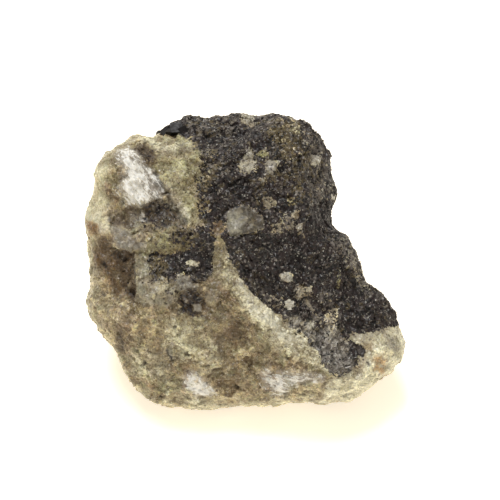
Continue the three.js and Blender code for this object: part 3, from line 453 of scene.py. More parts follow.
     dict(ore=0.0, grey=0.9, glassy=0.9, dusk=0.95, milky=0.0, pale=0.0, olive=0.15, rise=0.04), [
        (-2.5, 6.8), (-1.9, 7.6), (-0.5, 7.9), (-1.4, 8.0), (-0.0, 8.1), (0.8, 7.4), (1.7, 6.8),
        (2.8, 6.4), (2.8, 4.8), (1.5, 4.3), (-0.7, 3.8), (-2.1, 3.6), (-0.6, 3.6), (-2.1, 3.8),
        (-2.6, 5.2)]),
    ("cleavage plate, pale side", 0.7, dict(pale=0.22, brown=0.1, dusk=0.62), [
        (-2.5, 7.0), (-0.7, 7.8), (-0.1, 6.6), (-0.5, 3.9), (-2.5, 3.9)]),
    ("cleavage plate, grey side", 0.8, dict(dusk=0.95, glassy=0.7, ore=0.15, grey=0.8), [
        (0.3, 8.0), (1.8, 7.3), (2.7, 5.4), (1.5, 4.2), (-0.2, 4.2), (0.2, 6.1)]),
    ("haze round the bruise", 0.9, dict(bruise=0.3, grey=0.3), [
        (-18.5, 15.5), (-17.5, 16.5), (-15.8, 16.1), (-14.9, 14.5), (-13.4, 13.0), (-12.1, 11.8),
        (-12.0, 10.2), (-13.0, 8.8), (-14.4, 8.0), (-16.1, 7.4), (-17.6, 7.9), (-18.4, 9.7),
        (-17.7, 11.8), (-18.2, 13.7)]),
    ("bruise, upper left", 0.9, dict(bruise=1.1, ore=0.0, brown=0.0, dusk=0.0, rise=0.05), [
        (-17.9, 15.9), (-17.0, 16.4), (-15.6, 15.7), (-15.0, 14.7), (-14.4, 13.9), (-13.9, 13.2),
        (-13.2, 12.5), (-12.4, 11.8), (-12.2, 10.9), (-12.3, 9.9), (-12.8, 9.2), (-13.7, 9.0),
        (-14.3, 8.6), (-14.9, 8.2), (-15.4, 8.5), (-16.1, 8.4), (-16.6, 9.1), (-16.8, 10.2),
        (-17.0, 11.3), (-16.8, 12.5), (-16.8, 13.5), (-17.4, 14.2), (-17.8, 14.9)]),
    ("bruise, dark dashes", 0.5, dict(bruise=0.55, dusk=0.8, grey=0.5), [
        (-14.6, 13.5), (-13.1, 12.4), (-12.0, 11.0), (-12.0, 9.3), (-13.1, 8.7), (-13.8, 9.9),
        (-14.3, 11.6)]),
    ("bruise, foot", 0.95, dict(bruise=1.15, sweep=0.5, dusk=0.0, brown=0.1), [
        (-8.8, -16.8), (-7.6, -15.6), (-6.3, -16.2), (-5.4, -17.5), (-4.2, -18.7), (-5.0, -19.2),
        (-6.7, -19.0), (-7.9, -18.3)]),
    ("bruise, lower middle", 0.85, dict(bruise=0.74, brown=0.3, sweep=1.0), [
        (2.0, -15.8), (3.0, -14.8), (4.0, -16.1), (6.3, -15.6), (8.5, -15.8), (11.2, -16.4),
        (11.0, -17.0), (8.4, -17.2), (6.4, -17.9), (5.3, -19.4), (4.0, -18.9), (2.7, -17.9)]),
]
CHANNELS = (
    "ore", "ochre", "olive", "brown", "grey", "pale", "milky", "rust", "dusk", "glassy", "bruise",
    "sweep", "fibre", "dark_and_shade", "hollow",
)
# A crack's darkness is painted shade where it runs at a ledge or in a groove: at the foot of the
# bench, under the cleavage plate and beside the olive column. In the pits it is painted shade too.
CRACKS = [  # a dark line: its half width, how deep it goes, how dark it is, and its points
    ("slit in the lower face", 0.14, 0.3, 0.9, [(-11.1, -12.4), (-10.9, -13.2), (-10.4, -14.0)]),
    ("edge of the brown patch", 0.14, 0.25, 0.8, [
        (-15.6, 0.6), (-15.55, -2.0), (-15.6, -4.1), (-15.9, -5.8)]),
    ("foot of the bench", 0.16, 0.3, 0.12, [
        (-19.0, 1.9), (-16.7, 1.2), (-13.4, 1.1), (-10.6, 1.0), (-8.5, 1.9)]),
    ("round the bench's crystal", 0.10, 0.1, 0.4, [
        (-15.9, 3.7), (-15.2, 4.5), (-14.3, 4.0), (-14.2, 3.1), (-14.9, 2.6), (-15.8, 3.0),
        (-15.9, 3.7)]),
    ("side of the cleavage plate", 0.16, 0.30, 0.6, [
        (-2.5, 7.4), (-3.2, 6.4), (-4.2, 5.9)]),
    ("under the cleavage plate", 0.12, 0.25, 0.3, [(-2.3, 3.8), (0.2, 3.7), (2.4, 4.0)]),
    ("groove beside the olive column", 0.3, 0.35, 0.65, [
        (-12.6, 12.4), (-11.8, 10.6), (-10.8, 8.8), (-9.6, 7.2), (-8.4, 5.7)]),
    ("crack below the left rim", 0.12, 0.2, 0.5, [(-19.2, 7.0), (-18.9, 4.4), (-18.6, 1.8)]),
    ("left dent", 0.35, 0.3, 0.5, [(-17.9, -10.2), (-17.6, -12.6)]),
    ("left pit", 0.22, 0.3, 0.9, [(-20.3, -0.3), (-20.1, -0.8)]),
    ("left pit, lower", 0.18, 0.3, 0.8, [(-20.2, -4.4), (-20.0, -4.6)]),
    ("pit by the patch", 0.15, 0.3, 0.8, [(-11.3, -5.9), (-11.1, -6.0)]),
    ("pit by the bruise", 0.16, 0.3, 0.9, [(-5.9, -17.3), (-5.6, -17.4)]),
    ("pit below", 0.18, 0.3, 0.9, [(-14.3, -14.4), (-14.1, -14.6)]),
    ("pit above the foot", 0.16, 0.3, 0.8, [(-14.1, -10.8), (-14.0, -11.0)]),
    ("speck on the lump", 0.16, 0.1, 1.0, [(17.4, -14.3), (17.5, -14.3)]),
    ("speck on the lump, lower", 0.12, 0.1, 1.0, [(17.8, -17.0), (17.9, -17.0)]),
]
print(len(ZONES), "zones,", sum(len(zone[3]) for zone in ZONES), "traced points")

# %% [markdown]
# ## How far a point is from an outline
#
# A zone fades at its edge, and a crack has a width, so both need the distance from each point of
# the lump to a traced line. It is worked out for all points at once, one straight piece after
# another.

# %% Distances
CRACK_FLANK = (0.4, 2.0)  # a crack falls off between these many times its half width


def smooth_step(low, high, value):
    share = np.clip((value - low) / (high - low), 0.0, 1.0)
    return share * share * (3 - 2 * share)


def distance_to(line, u, v):
    """Return how far each point is from the line."""
    nearest = np.full(len(u), np.inf)
    for (au, av), (bu, bv) in zip(line, line[1:]):
        du, dv = bu - au, bv - av
        share = np.clip(((u - au) * du + (v - av) * dv) / (du * du + dv * dv), 0.0, 1.0)
        nearest = np.minimum(nearest, np.hypot(u - au - share * du, v - av - share * dv))
    return nearest


def depth_inside(outline, u, v):
    """Return how far each point is inside the outline, negative outside it."""
    closed = outline + outline[:1]
    inside = np.zeros(len(u), bool)
    for (au, av), (bu, bv) in zip(closed, closed[1:]):
        if av != bv:
            crossing = (av > v) != (bv > v)
            inside ^= crossing & (u < au + (v - av) * (bu - au) / (bv - av))
    nearest = distance_to(closed, u, v)
    return np.where(inside, nearest, -nearest)


def nearness(line, half_width, u, v):
    """Return 1 on the line, falling to 0 beside it."""
    start, end = CRACK_FLANK
    return 1 - smooth_step(start * half_width, end * half_width, distance_to(line, u, v))


square = [(0, 0), (1, 0), (1, 1), (0, 1)]
half_way = np.array([0.5])
print("the middle of a square of 1 mm is inside by", depth_inside(square, half_way, half_way)[0])

# %% [markdown]
# ## From outlines to shares
#
# Every point of the lump gets one number for each channel, kept as an attribute that the material
# reads. The outlines are bent by noise first, so that a border runs in and out by the size of a few
# grains. Behind the face nothing was traced: there the ore's outline drifts sideways with depth, as
# a body of ore that dips through the rock does, and noise alone places the stains.

# %% How much of each kind of stone is at a point
WANDERS = [(2.6, 0.25), (0.9, 0.22), (0.4, 0.12)]  # spacing and reach of a border's bends, in mm
WANDER_SEEDS = (11, 21)  # of the first bend along u and along v
BENT_FULLY = 0.5  # a zone that fades over less than this is a crystal, and bends less
WILDER_BEHIND = 1.5  # how much further a border bends where nothing was traced
TRACED_FACING = (-0.15, 0.25)  # how far a point looks to the camera where tracing starts, is full
TRACED_DEPTH = (-9.0, -5.0)  # the same of its w, in mm
DRIFT_START = 6.0  # the w under which the ore body drifts
DRIFT_PER_DEPTH = (-0.32, -0.12)  # in u and v, for each mm of depth
# Painted glow: the carbonate's thin rim is paled where the face turns away from the camera, as if
# light shone through it.
RIM_GLOW_FACING = (0.25, 0.7)  # how much a point looks to the camera where the rim's thin edge pales
RIM_GLOW_SHARE = 0.5
NOISE_STEP = (7.31, 3.17, 5.53)  # how far noise is moved for the next seed
# spacing in mm, seed, the noise at which a patch starts and is full, and its strength
STAINS_BEHIND = dict(
    brown=(6.0, 31, 0.1, 0.6, 0.8), olive=(7.0, 32, 0.0, 0.6, 0.8),
    grey=(4.5, 33, 0.25, 0.6, 0.8), pale=(5.5, 34, 0.2, 0.7, 0.7),
)
PATCHES_BEHIND = dict(dusk=(3.2, 37, 0.2, 0.6, 0.7), ore=(5.0, 35, 0.3, 0.55, 0.85))
ON_ORE_BEHIND = dict(ochre=(4.0, 36, 0.0, 0.5, 0.8), grey=(3.0, 38, 0.2, 0.5, 0.5))


def noise_at(points, spacing, seed):
    """Return smooth noise from -1 to 1 at each point, with bumps about one spacing apart."""
    offset = Vector([seed * step for step in NOISE_STEP])
    return np.array([noise.noise(Vector(p) / spacing + offset) for p in points])


def patches(points, spacing, seed, low, high, strength):
    return strength * smooth_step(low, high, noise_at(points, spacing, seed))


def shares_at(points, normals):
    """Return the channels' values at each point, and how far it is lifted and cut, in mm."""
    u, v, w = seen_on_face(points)
    facing = normals @ ALONG_W
    in_front = smooth_step(*TRACED_FACING, facing) * smooth_step(*TRACED_DEPTH, w)
    hidden = 1 - in_front
    depth = np.maximum(0.0, DRIFT_START - w) * hidden
    bend_u = np.zeros(len(points))
    bend_v = np.zeros(len(points))
    for number, (spacing, reach) in enumerate(WANDERS):
        reach = reach * (1 + WILDER_BEHIND * hidden)
        bend_u += reach * noise_at(points, spacing, WANDER_SEEDS[0] + number)
        bend_v += reach * noise_at(points, spacing, WANDER_SEEDS[1] + number)
    ore_u = u + bend_u - DRIFT_PER_DEPTH[0] * depth
    ore_v = v + bend_v - DRIFT_PER_DEPTH[1] * depth
    shares = {name: np.zeros(len(points)) for name in CHANNELS}
    for channel, patch in STAINS_BEHIND.items():
        shares[channel] = hidden * patches(points, *patch)
    rise = np.zeros(len(points))
    for name, fade, sets, outline in ZONES:
        if name == "ore body":
            cover = smooth_step(-fade, fade, depth_inside(outline, ore_u, ore_v))
        else:
            bent = min(1.0, fade / BENT_FULLY)
            inside = depth_inside(outline, u + bent * bend_u, v + bent * bend_v)
            cover = smooth_step(-fade, fade, inside) * in_front
        for channel, value in sets.items():
            target = rise if channel == "rise" else shares[channel]
            target += (value - target) * cover
    # Painted glow of the thin rim: carbonate that turns away from the camera is paled.
    rim = in_front * (1 - smooth_step(*RIM_GLOW_FACING, facing)) * (1 - shares["ore"])
    shares["pale"] = np.maximum(shares["pale"], RIM_GLOW_SHARE * rim)
    for channel, patch in PATCHES_BEHIND.items():
        shares[channel] = np.maximum(shares[channel], hidden * patches(points, *patch))
    for channel, patch in ON_ORE_BEHIND.items():
        shares[channel] += hidden * shares["ore"] * patches(points, *patch)
    cut = np.zeros(len(points))
    for name, half_width, deep, dark, line in CRACKS:
        near = nearness(line, half_width, u + bend_u, v + bend_v) * in_front
        cut = np.maximum(cut, deep * near)
        shares["dark_and_shade"] = np.maximum(shares["dark_and_shade"], dark * near)
    return shares, rise - cut


points = np.array([v.co[:] for v in shaping.verts]) / MM
normals = np.array([v.normal[:] for v in shaping.verts])
print("points seen from the front:", int((normals @ ALONG_W > 0).sum()), "of", len(points))

# %% [markdown]
# ## Relief
#
# A carbonatite breaks round its grains, so the face is never smooth: chips 2 to 3 mm wide, steps of
# a millimetre, and the grains themselves. A Displace modifier could add such noise, but here it has
# to be calm on the large crystals and at the rim, so the points are moved one by one, along their
# normals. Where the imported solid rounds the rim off, the rim is first drawn out by a swell. The
# side that rests on the table stays flat where it touches.

# %% Move the lump's points
CHIPS = [(3.1, 0.26), (1.5, 0.17), (0.75, 0.08)]  # spacing and height, in mm
CELL_STEPS = [(2.1, 0.14), (1.15, 0.11), (0.55, 0.05)]  # the same, of the steps between grains
CHIP_SEED = 41
CELL_SEED = 51
CELL_STEP_MOVE = (1.7, 2.3, 3.1)  # how far the cells are moved for the next seed
CELL_SPREAD = 9.7  # takes neighbouring cells to unlike random values
CALM_RIM = 0.4  # how much of the relief is left out where the face turns away
RIM_OUTSIDE = (-0.5, -0.2)  # how much a point looks to the camera where the rim starts and is full
RIM_INSIDE = (0.3, 0.6)  # and where it fades and ends
CALM_CRYSTAL = 0.8  # how much of the steps is left out on a cleaved crystal
HIGHEST = 0.22  # above the CAD surface
SHADED_HOLLOW_DEPTH = 0.42  # a hollow this deep is as dark as one gets
TOUCHING = 0.02  # a point of the CAD model this low lies on the table
SWELL_DEPTH = (-6.0, -2.0)  # the w at which a swell starts and is full
SWELLS = [  # u and v of the middle, its reach, and the push along u and v, in mm
    (-1.8, 20.6, 4.4, 0.0, 0.75),
    (-9.5, 19.2, 2.2, -0.2, 0.45),
    (13.6, 16.8, 4.0, 0.35, 0.3),
    (21.5, -4.2, 4.0, 0.4, 0.15),
    (-17.5, 14.5, 4.0, -0.35, 0.3),
    (9.2, 19.6, 2.5, 0.2, 0.25),
    (-16.2, -15.4, 4.0, -0.3, -0.25),
    (-13.0, -18.9, 3.0, -0.1, -0.15),
    (20.0, -14.9, 3.5, 0.25, -0.2),
]


def cell_height(point, spacing, seed):
    """Return a height from -1 to 1 that is even across one angular cell."""
    place = Vector(point) / spacing + Vector([seed * step for step in CELL_STEP_MOVE])
    centre = noise.voronoi(place)[1][0]
    return 2 * noise.cell(centre * CELL_SPREAD) - 1


seen_u, seen_v, seen_w = seen_on_face(points)
pushed = np.zeros_like(points)
for middle_u, middle_v, reach, push_u, push_v in SWELLS:
    away = np.hypot(seen_u - middle_u, seen_v - middle_v) / reach
    swell = np.exp(-away * away) * smooth_step(*SWELL_DEPTH, seen_w)
    pushed += swell[:, None] * (ALONG_U * push_u + ALONG_V * push_v)
points += pushed
shares, lift = shares_at(points, normals)
facing = normals @ ALONG_W
rim = smooth_step(*RIM_OUTSIDE, facing) * (1 - smooth_step(*RIM_INSIDE, facing))
calm = 1 - CALM_RIM * rim
relief = lift.copy()
for number, (spacing, height) in enumerate(CHIPS):
    relief += height * calm * noise_at(points, spacing, CHIP_SEED + number)
for number, (spacing, height) in enumerate(CELL_STEPS):
    steps = np.array([cell_height(p, spacing, CELL_SEED + number) for p in points])
    relief += height * calm * steps * (1 - CALM_CRYSTAL * shares["glassy"])
relief = np.minimum(relief, HIGHEST)
# Painted shade: where the chips and steps sink a point in, the material darkens it, the more the
# deeper.
shares["hollow"] = smooth_step(0.0, SHADED_HOLLOW_DEPTH, lift - relief)

for vertex, point, push, rise in zip(shaping.verts, points, pushed, relief):
    if point[2] < TOUCHING:
        continue
    vertex.co += Vector(push * MM) + vertex.normal * float(rise) * MM
    vertex.co.z = max(vertex.co.z, TOUCHING * MM)
shaping.normal_update()
print("relief, mm, lowest and highest:", round(relief.min(), 2), round(relief.max(), 2))

# %% [markdown]
# ## Pits
#
# Small pits show where a grain fell out of the carbonate, and painted shade darkens them. They are
# dents of half a millimetre, pushed in around a few dozen points picked at random. The ore is too
# fine-grained to lose grains that show, and a bruise is crushed flat, so both are passed over.

# %% Push the pits in
PIT_COUNT = 70
PIT_SEED = 17
PIT_RADIUS = (0.25, 0.5)
PIT_FLANK = (0.3, 1.2)  # a pit's side runs between these many times its radius
PIT_DEPTH = 0.3
PIT_SHADE = 0.65
MOST_ORE = 0.4  # more than this is no place for a pit
MOST_BRUISE = 0.3
SMOOTH_BELOW = 1.5  # a triangle whose corners' shares of ore add up to less is shaded smooth

picker = random.Random(PIT_SEED)
lump_points = np.array([v.co[:] for v in shaping.verts]) / MM
pit_share = np.zeros(len(lump_points))
for _ in range(PIT_COUNT):
    middle = picker.randrange(len(lump_points))
    radius = picker.uniform(*PIT_RADIUS)
    if shares["ore"][middle] > MOST_ORE or shares["bruise"][middle] > MOST_BRUISE:
        continue
    away = np.linalg.norm(lump_points - lump_points[middle], axis=1)
    side = smooth_step(PIT_FLANK[0] * radius, PIT_FLANK[1] * radius, away)
    pit_share = np.maximum(pit_share, 1 - side)
for vertex, share in zip(shaping.verts, pit_share):
    if share > 0 and vertex.co.z > TOUCHING * MM:
        vertex.co -= vertex.normal * float(share) * PIT_DEPTH * MM
        vertex.co.z = max(vertex.co.z, TOUCHING * MM)
# Painted shade: the colour in each pit is darkened.
shares["dark_and_shade"] = np.maximum(shares["dark_and_shade"], PIT_SHADE * pit_share)
shaping.normal_update()
lump_points = np.array([v.co[:] for v in shaping.verts]) / MM
lump_normals = np.array([v.normal[:] for v in shaping.verts])
seen_u, seen_v, seen_w = seen_on_face(lump_points)
for face in shaping.faces:
    face.smooth = sum(shares["ore"][vertex.index] for vertex in face.verts) < SMOOTH_BELOW
shaping.to_mesh(rock_mesh)
shaping.free()
print("points in a pit:", int((pit_share > 0.1).sum()))

# %% [markdown]
# ## The lump as a piece
#
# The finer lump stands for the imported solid, which MuJoCo keeps for collision. The channels go onto
# its mesh as one attribute each. Vertex colours would hold only four values, and these are fifteen.

# %% Make the piece


def set_channels(mesh, values):
    for name, numbers in values.items():
        attribute = mesh.attributes.new(name, "FLOAT", "POINT")
        attribute.data.foreach_set("value", np.asarray(numbers, np.float32))


def make_piece(name, mesh, material):
    piece = bpy.data.objects.new(name, mesh)
    bpy.context.scene.collection.objects.link(piece)
    mesh.materials.append(material)
    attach(piece, BODY)
    print(name, "has", len(mesh.polygons), "faces")
    return piece


set_channels(rock_mesh, shares)

# %% [markdown]
# ## One helper for nodes, one for colours
#
# A colour is written as it would be in a paint program, in sRGB, and turned to the linear values
# that Blender's sockets take. The node helper makes a node, sets its properties, fills its sockets,
# each with a number, a colour or the output of another node, and gives back one of its outputs.

# %% Helpers


def linear(code):
    channels = [int(code[i:i + 2], 16) / 255 for i in (1, 3, 5)]
    return [c / 12.92 if c <= 0.04045 else ((c + 0.055) / 1.055) ** 2.4 for c in channels] + [1.0]


def add_node(tree, kind, sockets=(), out=0, **settings):
    """Add a node and return its output called out, or all its outputs where out is None."""
    made = tree.nodes.new("ShaderNode" + kind)
    for name, value in settings.items():
        setattr(made, name, value)
    named = sockets.items() if isinstance(sockets, dict) else enumerate(sockets)
    for socket, value in named:
        if isinstance(value, bpy.types.NodeSocket):
            tree.links.new(value, made.inputs[socket])
        else:
            made.inputs[socket].default_value = linear(value) if isinstance(value, str) else value
    return made.outputs if out is None else made.outputs[out]


def new_material(name):
    """Return an empty material, and the helper for nodes set to its tree."""
    material = bpy.data.materials.new(name)
    material.use_nodes = True
    material.node_tree.nodes.clear()
    return material, partial(add_node, material.node_tree)


print("mid grey, linear:", round(linear("#808080")[0], 3))

# %% [markdown]
# ## The colours of the stone
#
# They are picked for each kind of stone under a neutral white light. Calcite is nearly white
# when pure, and iron stains it straw, tan, olive and rust. The ore is black with a brown cast.

# %% Colours, and how they are laid over each other
COLOUR = dict(
    straw="#d2c59c", tan="#a89574", shadow_brown="#5a4932", sage="#a1a480", blush="#b59b80",
    olive="#959369", brown="#4c3924", grey="#79756b", pale="#e6e1c2", milky="#b7b4a8",
    rust="#a87838", bruise="#dcdad3", dusk="#2d261b",
    dark_and_shade="#231b19", glint="#efecdf",
    ore_black="#0f0d0c", ore_brown="#2b201e", ochre="#544930", ore_grey="#6b645d",
    strand="#b0aca2",
)


def lay(node, under, tint, where, low=0.0, high=1.0, strength=1.0):
    """Lay a tint over a colour: not at all up to low, at its full strength from high on."""
    factor = node("MapRange", [where, low, high, 0.0, strength])
    return node("Mix", {0: factor, 6: under, 7: COLOUR[tint]}, out=2, data_type="RGBA")


def total(node, first, *rest):
    """Add values to the first, each of them given with its weight."""
    for value, weight in rest:
        first = node("Math", [value, weight, first], operation="MULTIPLY_ADD")
    return first


print(len(COLOUR), "colours")

# %% [markdown]
# ## The patterns of the stone
#
# One material serves the lump and its grains, because they are the same stone. On the lump a 3D
# Voronoi pattern parts the surface into grains of 0.33 mm and gives each its own random values. On
# the loose-standing grains those values come from an attribute, so that each is one colour. Noise
# of several sizes makes clouds of colour, and larger cells with bent borders are clearer crystals.

# %% Noise, cells and random values
GRAIN = 0.33  # mm, of the calcite's sugar
CRYSTAL = 1.35  # mm, of the clearer crystals among it
ORE_CRYSTAL = 0.9  # mm
# The smallest facets get painted glints: their colour is lightened as if they caught the light.
TINY = 0.17  # mm, of the smallest facets that flash
PEPPER = 1.5  # mm from one dark speck to the next
CLOUDS = dict(broad=(3.2, 3.0, 0.6), close=(0.95, 4.0, 0.65), fine=(0.22, 2.0, 0.6))
SPECK = (0.3, 2.0, 0.55)  # like the clouds: size in mm, detail and roughness
BEND = (0.7, 2.0, 0.5)
BEND_REACH = 1.3  # mm that a crystal's border strays for the whole range of the noise
CENTRE = (0.5, 0.5, 0.5)  # of noise and of random values, which run from 0 to 1
SWARM = (0.38, 0.62, 0.0, 0.055)  # where noise starts and is full, and from what to what it adds
PAINTED_GLINT_ABOVE = 1.0  # a facet flashes if its random value and the swarm add up to more
DARK_BELOW = 0.05  # and it is dark if its random value is less
NOISE_RANGE = (0.3, 0.7)  # most of a noise lies between these


def noise_of(at, size, detail, roughness):
    return {"Vector": at, "Scale": 1 / (size * MM), "Detail": detail, "Roughness": roughness}


def cells_of(at, size):
    return {"Vector": at, "Scale": 1 / (size * MM)}


def stone_patterns(node, on_grains):
    """Return what all finishes of the stone read, under short names."""
    p = SimpleNamespace(place=node("TexCoord", out="Object"), facet=None)
    p.share = {name: node("Attribute", out="Fac", attribute_name=name) for name in CHANNELS}
    if on_grains:
        random_values = node("Attribute", out="Vector", attribute_name="chance")
    else:
        sugar = node("TexVoronoi", cells_of(p.place, GRAIN), out=None)
        random_values = sugar["Color"]
        away = node("VectorMath", [p.place, sugar["Position"]], operation="SUBTRACT")
        tilt = node("VectorMath", [random_values, CENTRE], operation="SUBTRACT")
        p.facet = node("VectorMath", [away, tilt], out="Value", operation="DOT_PRODUCT")
    p.first, p.second, p.third = node("SeparateXYZ", [random_values], out=None)
    p.speck = node("TexNoise", noise_of(p.place, *SPECK), out="Fac")
    bend = node("TexNoise", noise_of(p.place, *BEND), out="Color")
    bend = node("VectorMath", [bend, CENTRE], operation="SUBTRACT")
    bend = node("VectorMath", [bend, [BEND_REACH * MM] * 3], operation="MULTIPLY")
    p.bent = node("VectorMath", [p.place, bend], operation="ADD")
    colours = {name: node("TexNoise", noise_of(p.place, *cloud), out="Color")
               for name, cloud in CLOUDS.items()}
    for name, at, size in (
        ("crystal", p.bent, CRYSTAL), ("ore_crystal", p.bent, ORE_CRYSTAL), ("tiny", p.place, TINY),
    ):
        colours[name] = node("TexVoronoi", cells_of(at, size), out="Color")
    for name, colour in colours.items():
        setattr(p, name, node("SeparateXYZ", [colour], out=None))
    p.to_border = node("TexVoronoi", cells_of(p.bent, CRYSTAL), out="Distance",
                       feature="DISTANCE_TO_EDGE")
    p.swarm = node("MapRange", [p.close[2], *SWARM])
    p.tiny_light = node("Math", [total(node, p.tiny[0], (p.swarm, 1.0)), PAINTED_GLINT_ABOVE],
                        operation="GREATER_THAN")
    p.tiny_dark = node("Math", [p.tiny[0], DARK_BELOW], operation="LESS_THAN")
    p.sugary = node("Math", [1.0, p.share["glassy"]], operation="SUBTRACT")
    return p


print("grains per millimetre:", round(1 / GRAIN, 1))

# %% [markdown]
# ## The carbonate
#
# Its crystals are straw, tan, sage and blush, in clouds, with brown between them. Over that come
# the traced tints, uneven from crystal to crystal, and the dusk. Each grain is a little lighter or
# darker than the next. Dark seams run between the crystals, the hollows of the relief get painted
# shade, a few grains are dark, and the smallest facets get painted glints. A noise through one
# colour ramp would be quicker, but it looks like cloth, because nothing in it has the size of a
# grain.

# %% The carbonate's colour
CRYSTAL_WEIGHT = 0.3  # of a crystal's own random value beside the clouds'
CLOUD_TINTS = dict(  # where each starts and is full, and its strength
    straw=(0.5, 0.8, 1.0), sage=(1.08, 1.35, 0.8), blush=(1.15, 1.4, 0.55),
    shadow_brown=(0.86, 1.1, 0.85),
)
TINTS = ("olive", "brown", "grey", "pale", "milky")  # traced, and laid in this order
DARK_GRAINS = 0.96  # a grain whose second value is above this is dark
SEAM_WIDTH = 0.13  # in sizes of a crystal
PEPPER_SIZE = 0.1  # in steps from one dark speck to the next
PEPPER_ABOVE = 0.55  # a speck shows if its random value is more


def carbonate(node, p):
    """Return the carbonate's colour, and the depth of its seams and of the painted shade in hollows.
    """
    share = p.share
    light = total(node, p.close[0], (p.crystal[0], CRYSTAL_WEIGHT))
    green = total(node, p.broad[0], (p.close[1], 1.0), (p.crystal[1], CRYSTAL_WEIGHT))
    pink = total(node, p.broad[1], (p.close[2], 1.0), (p.crystal[2], CRYSTAL_WEIGHT))
    murk = total(node, p.broad[2], (p.close[1], 1.0), (p.crystal[0], -0.25))
    colour = COLOUR["tan"]
    for where, (tint, reach) in zip((light, green, pink, murk), CLOUD_TINTS.items()):
        colour = lay(node, colour, tint, where, *reach)

    uneven = total(node, p.close[2], (p.broad[0], 0.6), (p.crystal[1], CRYSTAL_WEIGHT))
    uneven = node("MapRange", [uneven, 0.65, 1.25, -0.5, 0.5])
    for name in TINTS:
        colour = lay(node, colour, name, total(node, share[name], (share[name], uneven)))
    rusty = node("MapRange", [p.close[0], 0.3, 0.55])
    colour = lay(node, colour, "rust", node("Math", [share["rust"], rusty], operation="MULTIPLY"))
    in_clouds = node("MapRange", [p.close[1], *NOISE_RANGE, -0.25, 0.2])
    in_specks = node("MapRange", [p.speck, *NOISE_RANGE, -0.2, 0.1])
    dusky = total(node, share["dusk"], (in_clouds, 1.0), (in_specks, 1.0), (p.first, -0.2))
    colour = lay(node, colour, "dusk", dusky, 0.0, 0.85, 0.9)

    shade = node("MapRange", [p.fine[0], *NOISE_RANGE, -0.3, 0.3])
    value = total(node, shade, (p.first, 0.4), (p.crystal[2], 0.18))
    value = node("Math", [value, 0.71], operation="ADD")
    even = node("Math", [share["glassy"], 0.8], operation="MULTIPLY")
    colour = node("HueSaturation", {
        "Hue": node("MapRange", [p.second, 0.0, 1.0, 0.494, 0.506]),
        "Saturation": node("MapRange", [p.third, 0.0, 1.0, 0.85, 1.15]),
        "Value": node("Mix", {0: even, 2: value, 3: 1.0}),
        "Color": colour,
    })

    edge = node("MapRange", [p.to_border, 0.0, SEAM_WIDTH, 0.55, 0.0])
    seam_and_shade = node("Math", [edge, node("MapRange", [p.close[2], 0.35, 0.6])], operation="MULTIPLY")
    # Painted shade: the hollows of the relief are darkened with the seams' brown.
    hollow_shade = node("MapRange", [p.fine[1], *NOISE_RANGE, 0.3, 0.75])
    hollow_shade = node("Math", [share["hollow"], hollow_shade], operation="MULTIPLY")
    seam_and_shade = node("Math", [seam_and_shade, hollow_shade], operation="MAXIMUM")
    seam_and_shade = node("Math", [seam_and_shade, p.sugary], operation="MULTIPLY")
    colour = lay(node, colour, "shadow_brown", seam_and_shade)
    dark = node("Math", [p.second, DARK_GRAINS], operation="GREATER_THAN")
    dark = node("Math", [dark, p.sugary], operation="MULTIPLY")
    colour = lay(node, colour, "brown", dark, strength=0.5)

    # Painted glints: the smallest facets are lightened towards the glint colour, less where the stone
    # is glassy or dusky.
    dull = node("Math", [share["glassy"], dusky], operation="MAXIMUM")
    painted_glint = node("Math", [p.tiny_light, p.tiny[1]], operation="MULTIPLY")
    painted_glint = node("Math", [painted_glint, node("Math", [1.0, dull], operation="SUBTRACT")],
                 operation="MULTIPLY")
    colour = lay(node, colour, "glint", painted_glint, strength=0.35)
    spot = node("MapRange", [share["glassy"], 0.0, 1.0, 0.6, 0.1])
    spot = node("Math", [p.tiny_dark, spot], operation="MULTIPLY")
    colour = lay(node, colour, "shadow_brown", spot)
    pepper = node("TexVoronoi", cells_of(p.place, PEPPER), out=None)
    small = node("Math", [pepper["Distance"], PEPPER_SIZE], operation="LESS_THAN")
    few = node("SeparateXYZ", [pepper["Color"]])
    few = node("Math", [few, PEPPER_ABOVE], operation="GREATER_THAN")
    peppered = node("Math", [small, few], operation="MULTIPLY")
    colour = lay(node, colour, "dark_and_shade", peppered, strength=0.75)
    return lay(node, colour, "dark_and_shade", share["dark_and_shade"]), seam_and_shade


print("traced tints of the carbonate:", ", ".join(TINTS))

# %% [markdown]
# ## The ore
#
# Its grains are black in clouds of brown, ochre and grey crystals. Where it ends, its share of a
# zone is compared with each grain's random value: where the share is a half, half of the grains are
# black. That is how the real border looks, salt and pepper, never a blur.

# %% The ore's colour
ORE_CRYSTAL_WEIGHT = 0.35
GRAIN_WEIGHT = 0.1
LIGHT_GRAINS = 0.03  # a grain whose second value is below this is grey
BLACK_GRAINS = 0.8  # and one above this is black


